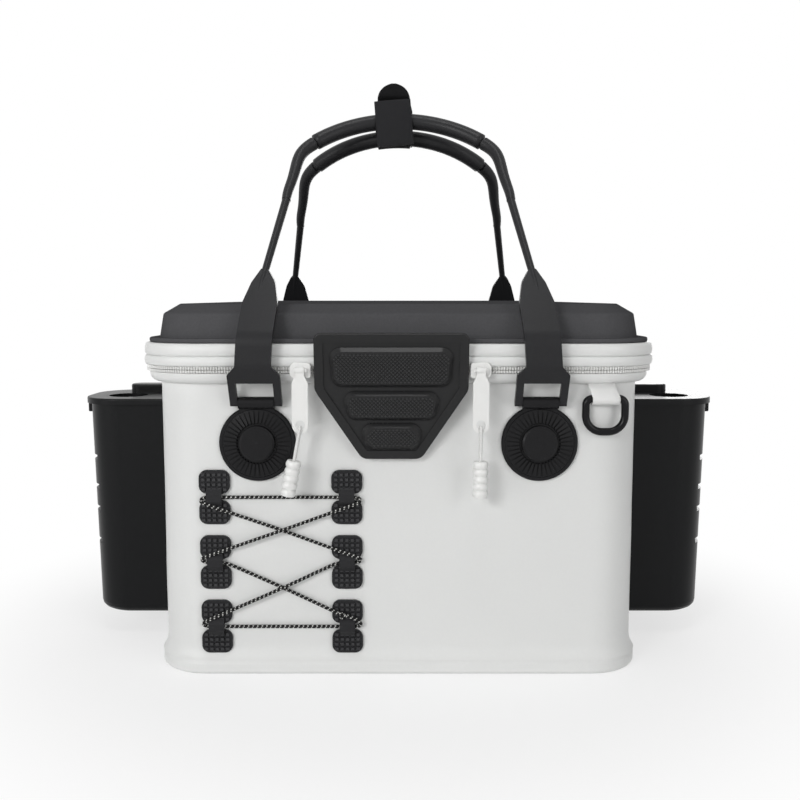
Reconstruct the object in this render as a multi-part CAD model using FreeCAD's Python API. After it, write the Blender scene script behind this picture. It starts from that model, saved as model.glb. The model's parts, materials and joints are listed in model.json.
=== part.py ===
import FreeCAD, Part
import math
import os

V = FreeCAD.Vector
ORIGIN = V(0, 0, 0)
AXIS_X = V(1, 0, 0)
AXIS_Y = V(0, 1, 0)
AXIS_Z = V(0, 0, 1)

# All sizes are in millimetres. The front is -Y, up is +Z, and the base stands on Z = 0.
# "Out" is a distance measured outwards from the outside of the wall.

# Clearances
FIT = 0.2                # between pieces of one body that nest
RUN = 0.3                # between pieces that move past each other

# Wall and base
WIDTH = 360.0            # outside of the side walls
DEPTH = 240.0            # outside of the front and back walls
CORNER_R = 36.0          # plan radius of the wall's corners
WALL = 3.0
WALL_TOP = 223.0
BASE_FLOOR = 2.5
BASE_RIM_OUT = 3.6
BASE_RIM_HEIGHT = 16.0
BASE_RIM_FLARE = 8.0     # height of the taper at the top of the base rim
BASE_EDGE_R = 3.2
FLOOR_PANEL = 2.0

# Rim of the mouth
COLLAR_BOTTOM = 218.5
COLLAR_TOP = 226.8
COLLAR_OUT = 8.5
FRAME_THICK = 3.0        # stiffening frame inside the rim
FRAME_HEIGHT = 20.0

# Zip
TAPE_IN = 4.0            # inner and outer edge of the zip tapes
TAPE_OUT = 9.5
ZIP_Z = 229.0            # where the two tapes meet
TAPE_TOP = 231.4

# Rolled band of the lid
BAND_FOLD = 238.6        # crease between the lower and the upper roll
BAND_TOP = 248.0
BAND_BULGE = 12.5        # widest part of both rolls
BAND_CREASE = 10.6
BAND_NECK = 9.4

# Lid shell
LIP_OUT = 8.2
LIP_THICK = 3.5
LID_WALL_FOOT = 0.6      # out at the foot of the lid's wall
LID_WALL_HEAD = -2.4     # out at the head of the lid's wall
LID_WALL_TOP = 269.0
LID_BEVEL_IN = -15.0     # out at the upper edge of the bevel
LID_BEVEL_TOP = 276.3
LID_CROWN_IN = 75.0      # how far the crown lies in from the wall
LID_TOP = 278.2
LID_SKIN = 4.0
LID_EDGE_R = 2.6

# Lid hinge at the back
HINGE_OUT = 9.0
HINGE_BEAD_R = 1.4
HINGE_HALF = 136.0

# Front flap
FLAP_HALF = 55.0
FLAP_X = -5.0            # middle of the flap, a little left of the lid's middle
FLAP_TOP = 256.0
FLAP_SIDE = 41.0         # length of the upright sides
FLAP_FOOT_HALF = 21.5
FLAP_LENGTH = 92.5
FLAP_TILT = 9.0          # degrees
FLAP_TOP_OUT = 17.0      # out of the back face at the top edge
FLAP_FLOOR = 3.4
FLAP_BORDER = 6.5
FLAP_BORDER_RISE = 1.2
FLAP_WEB_THICK = 2.2
FLAP_WEB_HALF = 50.0
FLAP_AXIS_OUT = 2.3
FLAP_AXIS_Z = 254.0
FLAP_BEAD_R = 1.2
PAD_RISE = 4.2
PAD_BEVEL = 2.6
PAD_R = 8.0
PADS = [                 # distance of the top edge below the flap's top, height, half widths at top and foot
    (9.6, 28.8, 44.5, 42.5),
    (41.6, 21.4, 36.0, 31.5),
    (65.4, 19.8, 23.5, 19.5),
]
MAGNET_R = 8.0
MAGNET_THICK = 2.6
MAGNET_DROP = 78.0       # magnet centre below the flap's top edge
KEEPER_R = 10.0
KEEPER_THICK = 1.2

# Anchors of the handles
ANCHOR_X = 103.0
PIVOT_OUT = 4.6
PIVOT_Z = 205.0
BAR_R = 2.6
LOOP_THICK = 1.5
LOOP_WIDTH = 26.0
LOOP_LEAF_THICK = 3.0
LOOP_FOOT = 163.0
PATCH_Z = 175.0
PATCH_R = 28.0
PATCH_RIM = 3.0
PATCH_DOME = 5.2
PATCH_BUTTON_R = 12.9
PATCH_BUTTON = 6.8
PATCH_RIBS = 40
PATCH_RIB_GAP = 1.0

# Handles
RING_WIDTH = 37.5
RING_TOP = 226.0
WINDOW_WIDTH = 26.8
WINDOW_TOP = 219.8
STRAP_WIDTH = 25.5
STRAP_THICK = 4.2
STRAP_OUT = 20.0
STRAP_LOW_Z = 232.0      # where the strap turns upright
STRAP_BEND_Z = 252.0     # where it leans in over the lid
STRAP_POINT_Z = 277.0    # where the strap starts to narrow
STRAP_LEAF_R = 18.0      # curve of its sides there
LEAF_Z = 292.0           # height of the second bend of those sides
LEAF_HALF = 8.6          # half the width there
LEAF_R = 12.0
NECK_X = 99.0
NECK_Z = 296.0
NECK_R = 2.7
RIDGE_LENGTH = 30.0
RIDGE_END_R = 1.5
LEG_LEAN = 9.0           # degrees, inwards
ROD_R = 3.5
SHOULDER_R = 5.3         # thickest part of the rod, where it leaves the sleeve
SHOULDER_RUN = 42.0      # how far down the leg it thins
SLEEVE_GAP = 0.3         # between the sleeve and the thick part
ARCH_R = 105.0
ARCH_CORNER_R = 30.0
FRONT_GRIP_Y = 8.0       # middle of the front grip, in front of the bucket's middle
FRONT_GRIP_OUT = FRONT_GRIP_Y - DEPTH / 2
FRONT_GRIP_Z = 424.8
BACK_GRIP_Y = 5.0        # middle of the back grip, behind the bucket's middle
BACK_GRIP_OUT = BACK_GRIP_Y - DEPTH / 2
BACK_GRIP_Z = 413.3
SLEEVE_R = 6.3
SLEEVE_MARGIN = 2.0      # degrees of the arch left free at each end of the sleeve

# Wrap that holds the two grips together
WRAP_X = -4.0
WRAP_WIDTH = 31.0
WRAP_THICK = 1.8
WRAP_DOWN = 21.0
WRAP_UP = 15.4
WRAP_LEAN = -4.5         # degrees
WRAP_LOOP_ANGLE = 7.5
TAB_Y = 13.4             # middle of the round tab, in front of the bucket's middle
TAB_OUT = -TAB_Y - DEPTH / 2
TAB_FOOT_UP = 18.2       # foot of the tab above the front grip's middle
TAB_FOOT_Z = FRONT_GRIP_Z + TAB_FOOT_UP
TAB_LENGTH = 11.0
TAB_TOP_Z = TAB_FOOT_Z + TAB_LENGTH
TAB_WIDTH = 23.0
TAB_SHOULDER = 5.0       # height of the step from the panel's width to the tab's
BACK_WRAP_DOWN = 9.0
BACK_WRAP_UP = 20.0

# Zip sliders and pulls
SLIDER_LEFT = -70.0
SLIDER_RIGHT = 58.7
SLIDER_LENGTH = 15.0
SLIDER_HEIGHT = 12.5
SLIDER_PLATE = 2.2
SLIDER_OUT = 13.0
SLIDER_POST = 4.0
SLIDER_TRAVEL = 5.0      # away from the flap
SLIDER_SLACK = 0.5       # towards the flap
BAIL_OUT = 18.0
BAIL_Z = 229.5
BAIL_R = 1.2
BAIL_HALF = 5.0
BARREL_R = 2.3
BARREL_HALF = 3.2
PULL_WIDTH = 11.4
PULL_THICK = 1.8
PULL_LENGTH = 45.0
PULL_HOLE_R = 3.4
PULL_HOLE_UP = 6.0       # hole centre above the end of the pull
PULL_CORD_R = 0.9
PULL_CORD_DROP = 24.0
GRIP_LENGTH = 26.0
GRIP_R = 5.6
GRIP_WAIST_R = 4.7
GRIP_BEADS = 5
LEFT_GRIP_SWAY = 11.0    # degrees

# D-ring
RING_X = 150.0
RING_Z = 208.0
RING_OUT = 5.0
RING_ROD_R = 2.8
RING_HALF = 14.2
RING_DROP = 24.2
RING_TOP_R = 4.5
RING_FOOT_R = 12.0
WEB_WIDTH = 20.0
WEB_THICK = 1.5

# Cord tabs and shock cord on the front
TAB_COLUMNS = [-135.3, -38.0]
TAB_ROWS = [134.8, 85.8, 36.8]
LOBE_WIDTH = 22.8
LOBE_HEIGHT = 17.6
LOBE_THICK = 2.0
LOBE_R = 6.0
LOBE_PITCH = 22.8
BRIDGE_WIDTH = 11.4
BRIDGE_TOP = 5.8
BRIDGE_HALF = 2.7
TUNNEL_TOP = 4.1
TUNNEL_HALF = 2.2
CORD_R = 1.5
CORD_LOW = 2.0           # out of the cord's middle in the tunnels
CORD_OVER = 4.0          # out where it lies over a lobe
CORD_UNDER_CROSS = 2.0   # out of the lower and the upper run where two runs cross
CORD_OVER_CROSS = 5.6
CORD_TURN = 12.6         # how far the cord's turns stand from the middle of a tab
KNOT_R = 3.1

# Rod holders on the sides
HOLDER_BACK = 6.0        # thickness of the bracket between wall and holder
HOLDER_OUT = 78.0
HOLDER_FOOT_OUT = 75.0
HOLDER_HALF = 38.0
HOLDER_FOOT_HALF = 36.0
HOLDER_R = 28.0
HOLDER_BACK_R = 6.0
HOLDER_SKIN = 4.5
HOLDER_BOTTOM = 18.0
HOLDER_TOP = 199.0
HOLDER_EDGE_R = 7.0
HOLDER_RIM = 3.5
HOLDER_RIM_HEIGHT = 5.0
HOLDER_DECK = 4.0
LUG_HALF = 9.0
LUG_OUT = 83.0
LUG_HEIGHT = 14.0
TUBE_X = 48.0            # middle of the rod tube, out from the wall
TUBE_Y = -10.0
TUBE_R = 16.0
TUBE_SKIN = 2.2
GROOVES = [148.4, 123.7, 105.0, 77.5]
GROOVE_HEIGHT = 4.4
GROOVE_DEPTH = 2.2
GROOVE_HALF = 27.0
BRACKET_HALF = 29.0
BRACKET_FOOT = 42.0
BRACKET_TOP = 209.0
TONGUE_OUT = 54.0
TONGUE_Y0 = 13.0
TONGUE_Y1 = 32.0
TONGUE_THICK = 7.0
BACKING_THICK = 2.0
BACKING_FOOT = 60.0
BACKING_TOP = 180.0
SCREW_Y = 19.0
SCREW_ROWS = [78.0, 162.0]
SCREW_R = 2.0
SCREW_HEAD_R = 4.2
SCREW_HEAD = 2.4
SCREW_GRIP = 5.0         # how far the screws reach into the bracket


def front_y(out):
    """Y of a plane that stands this far outside the front wall."""
    return -(DEPTH / 2 + out)


def box(x0, x1, y0, y1, z0, z1):
    """Box between two corners."""
    return Part.makeBox(x1 - x0, y1 - y0, z1 - z0, V(x0, y0, z0))


def mirrored_x(shape):
    """The same piece on the other side of the YZ plane."""
    return shape.mirror(ORIGIN, AXIS_X)


def mirrored_y(shape):
    """The same piece on the other side of the XZ plane."""
    return shape.mirror(ORIGIN, AXIS_Y)


def rounded_path(points, radii):
    """Edges of straight runs joined by tangent arcs, with one radius for each inner point."""
    edges = []
    last = points[0]
    for before, at, after, radius in zip(points, points[1:], points[2:], radii):
        back = (before - at).normalize()
        on = (after - at).normalize()
        half = back.getAngle(on) / 2
        reach = radius / math.tan(half)
        middle = at + (back + on).normalize() * (radius / math.sin(half) - radius)
        edges.append(Part.LineSegment(last, at + back * reach).toShape())
        edges.append(Part.Arc(at + back * reach, middle, at + on * reach).toShape())
        last = at + on * reach
    edges.append(Part.LineSegment(last, points[-1]).toShape())
    return edges


def rounded_polygon(points, radii):
    """Closed wire through the points, each corner rounded by its own radius."""
    start = (points[0] + points[-1]) * 0.5
    ring = [start] + list(points) + [start]
    return Part.Wire(rounded_path(ring, radii))


def rounded_rect(half_x, half_y, radius, z):
    """Level rectangle with round corners, about the Z axis."""
    points = [V(half_x, -half_y, z), V(half_x, half_y, z), V(-half_x, half_y, z), V(-half_x, -half_y, z)]
    return rounded_polygon(points, [radius] * 4)


def wall_line(out, z):
    """Plan outline of the wall, moved outwards."""
    return rounded_rect(WIDTH / 2 + out, DEPTH / 2 + out, CORNER_R + out, z)


def slab(wire, height):
    """Level outline raised to a solid."""
    return Part.Face(wire).extrude(V(0, 0, height))


def wall_ring(outer, inner, z0, z1):
    """Upright ring that follows the wall's outline."""
    return slab(wall_line(outer, z0), z1 - z0).cut(slab(wall_line(inner, z0), z1 - z0))


def profile(start, *steps):
    """Face in the plane x = 0 from (out, z) points; a step of two points is an arc through the first."""
    def place(point):
        return V(0, front_y(point[0]), point[1])
    edges = []
    last = start
    for step in steps + (start,):
        if isinstance(step[0], tuple):
            edges.append(Part.Arc(place(last), place(step[0]), place(step[1])).toShape())
            last = step[1]
        else:
            edges.append(Part.LineSegment(place(last), place(step)).toShape())
            last = step
    return Part.Face(Part.Wire(edges))


def round_the_wall(face):
    """Carry a profile from the plane x = 0 once round the wall's outline."""
    run_x = WIDTH - 2 * CORNER_R
    run_y = DEPTH - 2 * CORNER_R
    pieces = []
    for turn, along, across, half_depth in ((0, run_x, run_y, DEPTH / 2), (90, run_y, run_x, WIDTH / 2),
                                            (180, run_x, run_y, DEPTH / 2), (270, run_y, run_x, WIDTH / 2)):
        side = face.copy()
        side.translate(V(-along / 2, DEPTH / 2 - half_depth, 0))
        straight = side.extrude(V(along, 0, 0))
        end = face.copy()
        end.translate(V(along / 2, DEPTH / 2 - half_depth, 0))
        corner = end.revolve(V(along / 2, -half_depth + CORNER_R, 0), AXIS_Z, 90)
        for piece in (straight, corner):
            piece.rotate(ORIGIN, AXIS_Z, turn)
            pieces.append(piece)
    return pieces[0].fuse(pieces[1:]).removeSplitter()


def bent_strip(points, radii, thickness):
    """Face in the plane x = 0 of a strip of even thickness along a bent line of (out, z) points."""
    line = [V(0, front_y(out), z) for out, z in points]
    runs = [(b - a).normalize() for a, b in zip(line, line[1:])]
    sides = [AXIS_X.cross(run) for run in runs]
    edges = []
    ends = []
    for sign in (1, -1):
        reach = sign * thickness / 2
        path = [line[0] + sides[0] * reach]
        bends = []
        for i, radius in enumerate(radii):
            before = sides[i]
            after = sides[i + 1]
            path.append(line[i + 1] + (before + after) * (reach / (1 + before.dot(after))))
            turn = runs[i].cross(runs[i + 1]).x
            bends.append(radius - reach * math.copysign(1.0, turn))
        path.append(line[-1] + sides[-1] * reach)
        edges += rounded_path(path, bends)
        ends.append((path[0], path[-1]))
    for a, b in zip(*ends):
        edges.append(Part.LineSegment(a, b).toShape())
    return Part.Face(Part.Wire(Part.__sortEdges__(edges)))


def across(face, x0, x1):
    """Extrude a face of the plane x = 0 from one x to another."""
    moved = face.copy()
    moved.translate(V(x0, 0, 0))
    return moved.extrude(V(x1 - x0, 0, 0))


def plate(points, radii, y0, y1):
    """Upright plate from (x, z) points between two planes of y."""
    wire = rounded_polygon([V(x, y0, z) for x, z in points], radii)
    return Part.Face(wire).extrude(V(0, y1 - y0, 0))


def disc(centre, axis, radius):
    """Round face with its centre and axis."""
    return Part.Face(Part.Wire(Part.Circle(centre, axis, radius).toShape()))


def rod(x0, x1, out, z, radius):
    """Round rod along X in front of the wall."""
    return Part.makeCylinder(radius, x1 - x0, V(x0, front_y(out), z), AXIS_X)


def tube_along(points, radii, radius):
    """Round cord along straight runs and tangent arcs."""
    path = Part.Wire(rounded_path(points, radii))
    end = Part.Wire(Part.Circle(points[0], points[1] - points[0], radius).toShape())
    return path.makePipeShell([end], True, False), path.Length


# Bucket

def make_base_tray():
    """Shallow tray under the wall, with a rim that tapers up to it."""
    low = BASE_RIM_HEIGHT - BASE_RIM_FLARE
    foot = slab(wall_line(BASE_RIM_OUT, 0), low)
    foot = foot.makeFillet(BASE_EDGE_R, [e for e in foot.Edges if e.BoundBox.ZMax < 0.001])
    top = Part.makeLoft([wall_line(BASE_RIM_OUT, low), wall_line(0.9, BASE_RIM_HEIGHT)], True, True)
    return foot.fuse(top).cut(slab(wall_line(FIT, BASE_FLOOR), BASE_RIM_HEIGHT))


def screw_places():
    """Screw positions (y, z) of a rod holder."""
    return [(y, z) for y in (-SCREW_Y, SCREW_Y) for z in SCREW_ROWS]


def screw_holes(radius, x0, x1, side):
    """Round holes along X at the screws of one side."""
    holes = []
    for y, z in screw_places():
        holes.append(Part.makeCylinder(radius, x1 - x0, V(x0, y, z), AXIS_X))
    return holes if side > 0 else [mirrored_x(hole) for hole in holes]


def make_wall():
    """Wall of the bucket, a rounded tube open at both ends, with the holes of the holders' screws."""
    wall = wall_ring(0, -WALL, BASE_FLOOR, WALL_TOP)
    for side in (1, -1):
        wall = wall.cut(screw_holes(SCREW_R + FIT, WIDTH / 2 - WALL - 1, WIDTH / 2 + 1, side))
    return wall


def make_floor_panel():
    """Loose panel on the floor of the tray."""
    return slab(wall_line(-WALL - FIT, BASE_FLOOR), FLOOR_PANEL)


def make_collar():
    """Rolled collar that caps the wall and steps out under the zip."""
    face = profile((0, COLLAR_BOTTOM), ((COLLAR_OUT * 0.72, COLLAR_BOTTOM + 2.6), (COLLAR_OUT, COLLAR_TOP)),
                   (-WALL, COLLAR_TOP), (-WALL, WALL_TOP), (0, WALL_TOP))
    return round_the_wall(face)


def make_mouth_frame():
    """Stiff frame inside the rim."""
    return wall_ring(-WALL - FIT, -WALL - FIT - FRAME_THICK, COLLAR_TOP - FRAME_HEIGHT, COLLAR_TOP)


def zip_slots():
    """Room for the posts of both sliders in the tapes."""
    reach = SLIDER_POST / 2 + 2 * RUN
    slots = []
    for left, right in ((SLIDER_LEFT - SLIDER_TRAVEL, SLIDER_LEFT + SLIDER_SLACK),
                        (SLIDER_RIGHT - SLIDER_SLACK, SLIDER_RIGHT + SLIDER_TRAVEL)):
        slots.append(box(left - reach, right + reach, front_y(TAPE_OUT + 1), front_y(TAPE_IN - 1),
                         ZIP_Z - 1.4, ZIP_Z + 1.4))
    return slots


def make_tape(z0, z1):
    """One half of the zip, on the front, the sides and the corners."""
    ring = wall_ring(TAPE_OUT, TAPE_IN, z0, z1)
    back = box(-WIDTH, WIDTH, DEPTH / 2 + TAPE_IN - 2, DEPTH, z0 - 1, z1 + 1)
    return ring.cut([back] + zip_slots())


def make_hinge_strip():
    """Strip on the collar at the back, with the round bead that the lid turns on."""
    bead = rod(-HINGE_HALF, HINGE_HALF, HINGE_OUT, ZIP_Z, HINGE_BEAD_R)
    strip = box(-HINGE_HALF, HINGE_HALF, front_y(HINGE_OUT), front_y(TAPE_IN), COLLAR_TOP, COLLAR_TOP + 1.4)
    return mirrored_y(bead.fuse(strip))


# Lid

def lid_form(outer):
    """Outside or inside form of the lid's shell, from its wall to its crown."""
    skin = 0 if outer else LID_SKIN
    foot = BAND_TOP + LIP_THICK if outer else BAND_TOP - 1
    crown = LID_CROWN_IN + skin
    lines = [
        wall_line(LID_WALL_FOOT - skin, foot),
        wall_line(LID_WALL_HEAD - skin, LID_WALL_TOP - skin * 0.5),
        wall_line(LID_BEVEL_IN - skin * 0.5, LID_BEVEL_TOP - skin),
        rounded_rect(WIDTH / 2 - crown, DEPTH / 2 - crown, CORNER_R / 2, LID_TOP - skin),
    ]
    return Part.makeLoft(lines, True, True)


def make_lid_shell():
    """Moulded lid: lip, wall, bevel and a low crown, hollow underneath."""
    form = lid_form(True)
    edges = [e for e in form.Edges if abs(e.BoundBox.ZMin - e.BoundBox.ZMax) < 0.01
             and LID_WALL_TOP - 1 < e.BoundBox.ZMin < LID_TOP - 0.5]
    form = form.makeFillet(LID_EDGE_R, edges)
    lip = slab(wall_line(LIP_OUT, BAND_TOP), LIP_THICK)
    level = [e for e in lip.Edges if abs(e.BoundBox.ZMin - e.BoundBox.ZMax) < 0.01]
    lip = lip.makeFillet(LIP_THICK * 0.35, level)
    return form.fuse(lip).cut(lid_form(False))


def make_lid_band():
    """Two rolls of soft sheet between the zip and the lid's lip."""
    face = profile((TAPE_IN, TAPE_TOP), (BAND_CREASE, TAPE_TOP),
                   ((BAND_BULGE, (TAPE_TOP + BAND_FOLD) / 2), (BAND_CREASE, BAND_FOLD)),
                   ((BAND_BULGE, (BAND_FOLD + BAND_TOP) / 2 - 0.6), (BAND_NECK, BAND_TOP)),
                   (TAPE_IN, BAND_TOP))
    return round_the_wall(face)


def make_hinge_leaf():
    """Strip under the lid's band at the back, beside the bead."""
    leaf = box(-HINGE_HALF, HINGE_HALF, front_y(HINGE_OUT - HINGE_BEAD_R - 0.8), front_y(TAPE_IN),
               ZIP_Z + 0.4, TAPE_TOP)
    return mirrored_y(leaf)


def make_flap_bead(lid_shell):
    """Low strip on the lid's wall with the round bead that the flap turns on."""
    left = FLAP_X - FLAP_WEB_HALF
    right = FLAP_X + FLAP_WEB_HALF
    bead = rod(left, right, FLAP_AXIS_OUT, FLAP_AXIS_Z, FLAP_BEAD_R)
    strip = box(left, right, front_y(FLAP_AXIS_OUT), front_y(-2), FLAP_AXIS_Z - 1, FLAP_AXIS_Z + 1)
    return bead.fuse(strip).cut(lid_shell)


# Front flap

def on_flap(shape):
    """Tilt a piece made in the flap's own upright frame and set it in front of the band."""
    shape.rotate(ORIGIN, AXIS_X, FLAP_TILT)
    shape.translate(V(FLAP_X, front_y(FLAP_TOP_OUT), FLAP_TOP))
    return shape


def flap_outline(y):
    """Outline of the flap: upright sides, then slants to a short foot."""
    points = [V(FLAP_HALF, y, 0), V(FLAP_HALF, y, -FLAP_SIDE), V(FLAP_FOOT_HALF, y, -FLAP_LENGTH),
              V(-FLAP_FOOT_HALF, y, -FLAP_LENGTH), V(-FLAP_HALF, y, -FLAP_SIDE), V(-FLAP_HALF, y, 0)]
    return rounded_polygon(points, [5, 9, 8, 8, 9, 5])


def flap_pad(drop, height, half_top, half_foot):
    """Raised pad with bevelled sides."""
    levels = []
    for inset, y in ((0, -FLAP_FLOOR + 0.5), (0, -FLAP_FLOOR - 1.4), (PAD_BEVEL, -FLAP_FLOOR - PAD_RISE)):
        top = -drop - inset
        foot = -drop - height + inset
        points = [V(half_top - inset, y, top), V(half_foot - inset, y, foot),
                  V(-half_foot + inset, y, foot), V(-half_top + inset, y, top)]
        levels.append(rounded_polygon(points, [PAD_R - inset * 0.6] * 4))
    return Part.makeLoft(levels, True, True)


def make_flap():
    """Moulded flap: raised border, three pads, a web to the hinge and a pocket for the magnet."""
    thick = FLAP_FLOOR + FLAP_BORDER_RISE
    form = Part.Face(flap_outline(-thick)).extrude(V(0, thick, 0))
    rim = [e for e in form.Edges if e.BoundBox.YMax < -thick + 0.01]
    form = form.makeFillet(0.9, rim)
    inner = flap_outline(-thick).makeOffset2D(-FLAP_BORDER)
    form = form.cut(Part.Face(inner).extrude(V(0, FLAP_BORDER_RISE, 0)))
    form = form.fuse([flap_pad(*pad) for pad in PADS])
    pocket = Part.makeCylinder(MAGNET_R + FIT, MAGNET_THICK + FIT, V(0, 0, -MAGNET_DROP), V(0, -1, 0))
    form = on_flap(form.cut(pocket))
    web = box(FLAP_X - FLAP_WEB_HALF, FLAP_X + FLAP_WEB_HALF, front_y(FLAP_TOP_OUT + 1.5),
              front_y(FLAP_AXIS_OUT + FLAP_BEAD_R + 0.5),
              FLAP_AXIS_Z - FLAP_WEB_THICK * 0.6, FLAP_AXIS_Z + FLAP_WEB_THICK * 0.4)
    return form.fuse(web)


def make_flap_magnet():
    """Round magnet in the pocket behind the flap's lowest pad."""
    return on_flap(Part.makeCylinder(MAGNET_R, MAGNET_THICK, V(0, -FIT, -MAGNET_DROP), V(0, -1, 0)))


def make_flap_keeper():
    """Thin steel disc on the wall under the magnet."""
    z = FLAP_TOP - MAGNET_DROP * math.cos(math.radians(FLAP_TILT))
    return Part.makeCylinder(KEEPER_R, KEEPER_THICK, V(FLAP_X, front_y(0), z), V(0, -1, 0))


# Anchors of the handles

def make_anchor_loop():
    """Strip that loops round the bar of the handle's ring and runs down under the patch."""
    x0 = ANCHOR_X - LOOP_WIDTH / 2
    x1 = ANCHOR_X + LOOP_WIDTH / 2
    inner = BAR_R + RUN
    loop = rod(x0, x1, PIVOT_OUT, PIVOT_Z, inner + LOOP_THICK)
    leaf = box(x0, x1, front_y(LOOP_LEAF_THICK), front_y(0), LOOP_FOOT, PIVOT_Z)
    return loop.fuse(leaf).cut(rod(x0 - 1, x1 + 1, PIVOT_OUT, PIVOT_Z, inner))


def make_patch():
    """Round moulded patch with radial ribs round a button, over the loop's leaf."""
    r = PATCH_R
    points = [(0, 0), (r, 0), (r, PATCH_RIM - 0.8), (r - 0.8, PATCH_RIM), (r - 2.6, PATCH_RIM),
              (r - 3.2, PATCH_RIM + 0.8), (PATCH_BUTTON_R + 2.2, PATCH_DOME),
              (PATCH_BUTTON_R + 1.4, PATCH_RIM), (PATCH_BUTTON_R + 0.4, PATCH_RIM),
              (PATCH_BUTTON_R, PATCH_BUTTON - 1.2), (PATCH_BUTTON_R - 1.4, PATCH_BUTTON - 0.3),
              (0, PATCH_BUTTON)]
    line = [V(ANCHOR_X + radius, front_y(out), PATCH_Z) for radius, out in points]
    patch = Part.Face(Part.makePolygon(line + line[:1])).revolve(V(ANCHOR_X, 0, PATCH_Z), AXIS_Y, 360)
    gaps = []
    for i in range(PATCH_RIBS):
        gap = box(PATCH_BUTTON_R + 0.9, r - 3.9, front_y(PATCH_DOME + 1), front_y(PATCH_RIM + 0.35),
                  -PATCH_RIB_GAP / 2, PATCH_RIB_GAP / 2)
        gap.rotate(ORIGIN, AXIS_Y, 360.0 * (i + 0.5) / PATCH_RIBS)
        gap.translate(V(ANCHOR_X, 0, PATCH_Z))
        gaps.append(gap)
    patch = patch.cut(gaps)
    side = LOOP_WIDTH / 2 + FIT
    slot = box(ANCHOR_X - side, ANCHOR_X + side, front_y(LOOP_LEAF_THICK + FIT), front_y(-1),
               LOOP_FOOT - FIT, PIVOT_Z)
    eye = rod(ANCHOR_X - side, ANCHOR_X + side, PIVOT_OUT, PIVOT_Z, BAR_R + RUN + LOOP_THICK + FIT)
    swing = rod(ANCHOR_X - RING_WIDTH, ANCHOR_X + RING_WIDTH, PIVOT_OUT, PIVOT_Z, BAR_R + RUN)
    return patch.cut([slot, eye, swing])


# Handles

class Arch:
    """Plane in which a handle leans over the lid, and the arch of its rod in that plane."""

    def __init__(self, grip_out, grip_z):
        self.root = V(0, front_y(STRAP_OUT), STRAP_BEND_Z)
        top = V(0, front_y(grip_out), grip_z)
        self.height = (top - self.root).Length
        self.up = (top - self.root).normalize()
        self.normal = AXIS_X.cross(self.up)
        self.neck = (NECK_Z - STRAP_BEND_Z) / self.up.z
        lean = math.radians(LEG_LEAN)
        rise = self.neck - self.height + ARCH_R
        span = NECK_X * math.cos(lean) + rise * math.sin(lean) - ARCH_CORNER_R
        self.half = math.asin(span / (ARCH_R - ARCH_CORNER_R)) - lean
        self.end = math.pi / 2 - lean
        self.sleeve = math.degrees(self.half) - SLEEVE_MARGIN

    def at(self, x, s):
        """Point in the plane, x across and s up from the bend."""
        return self.root + V(x, 0, 0) + self.up * s

    def top(self, angle):
        """Point of the arch at an angle from its crown."""
        return self.at(ARCH_R * math.sin(angle), self.height - ARCH_R + ARCH_R * math.cos(angle))

    def shoulder(self, angle):
        """Point of the tighter arc between the arch and a leg."""
        inner = ARCH_R - ARCH_CORNER_R
        x = inner * math.sin(self.half) + ARCH_CORNER_R * math.sin(angle)
        s = self.height - ARCH_R + inner * math.cos(self.half) + ARCH_CORNER_R * math.cos(angle)
        return self.at(x, s)

    def tube(self, radius, a0, a1):
        """Round tube along the arch between two angles in degrees."""
        a0 = math.radians(a0)
        a1 = math.radians(a1)
        arc = Part.Arc(self.top(a0), self.top((a0 + a1) / 2), self.top(a1)).toShape()
        along = V(math.cos(a0), 0, 0) - self.up * math.sin(a0)
        return Part.Wire([arc]).makePipe(disc(self.top(a0), along, radius))


def make_shoulder(arch, knee, down, leg):
    """Thick part of the rod between the sleeve's end and the leg, thinning as it goes down."""
    start = math.radians(arch.sleeve) + SLEEVE_GAP / ARCH_R
    stations = [(arch.top(start), start), (arch.top(arch.half), arch.half)]
    for share in (0.33, 0.67, 1.0):
        angle = arch.half + (arch.end - arch.half) * share
        stations.append((arch.shoulder(angle), angle))
    places = [(at, V(math.cos(a), 0, 0) - arch.up * math.sin(a)) for at, a in stations]
    places += [(knee + down * (SHOULDER_RUN * share), down) for share in (0.5, 1.0)]
    thin = ROD_R + (NECK_R - ROD_R) * SHOULDER_RUN / leg + SLEEVE_GAP
    run = [0.0]
    for (a, _), (b, _) in zip(places, places[1:]):
        run.append(run[-1] + (b - a).Length)
    rings = []
    for (at, along), gone in zip(places, run):
        radius = SHOULDER_R + (thin - SHOULDER_R) * gone / run[-1]
        rings.append(Part.Wire(Part.Circle(at, along, radius).toShape()))
    return Part.makeLoft(rings, True, False)


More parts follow.
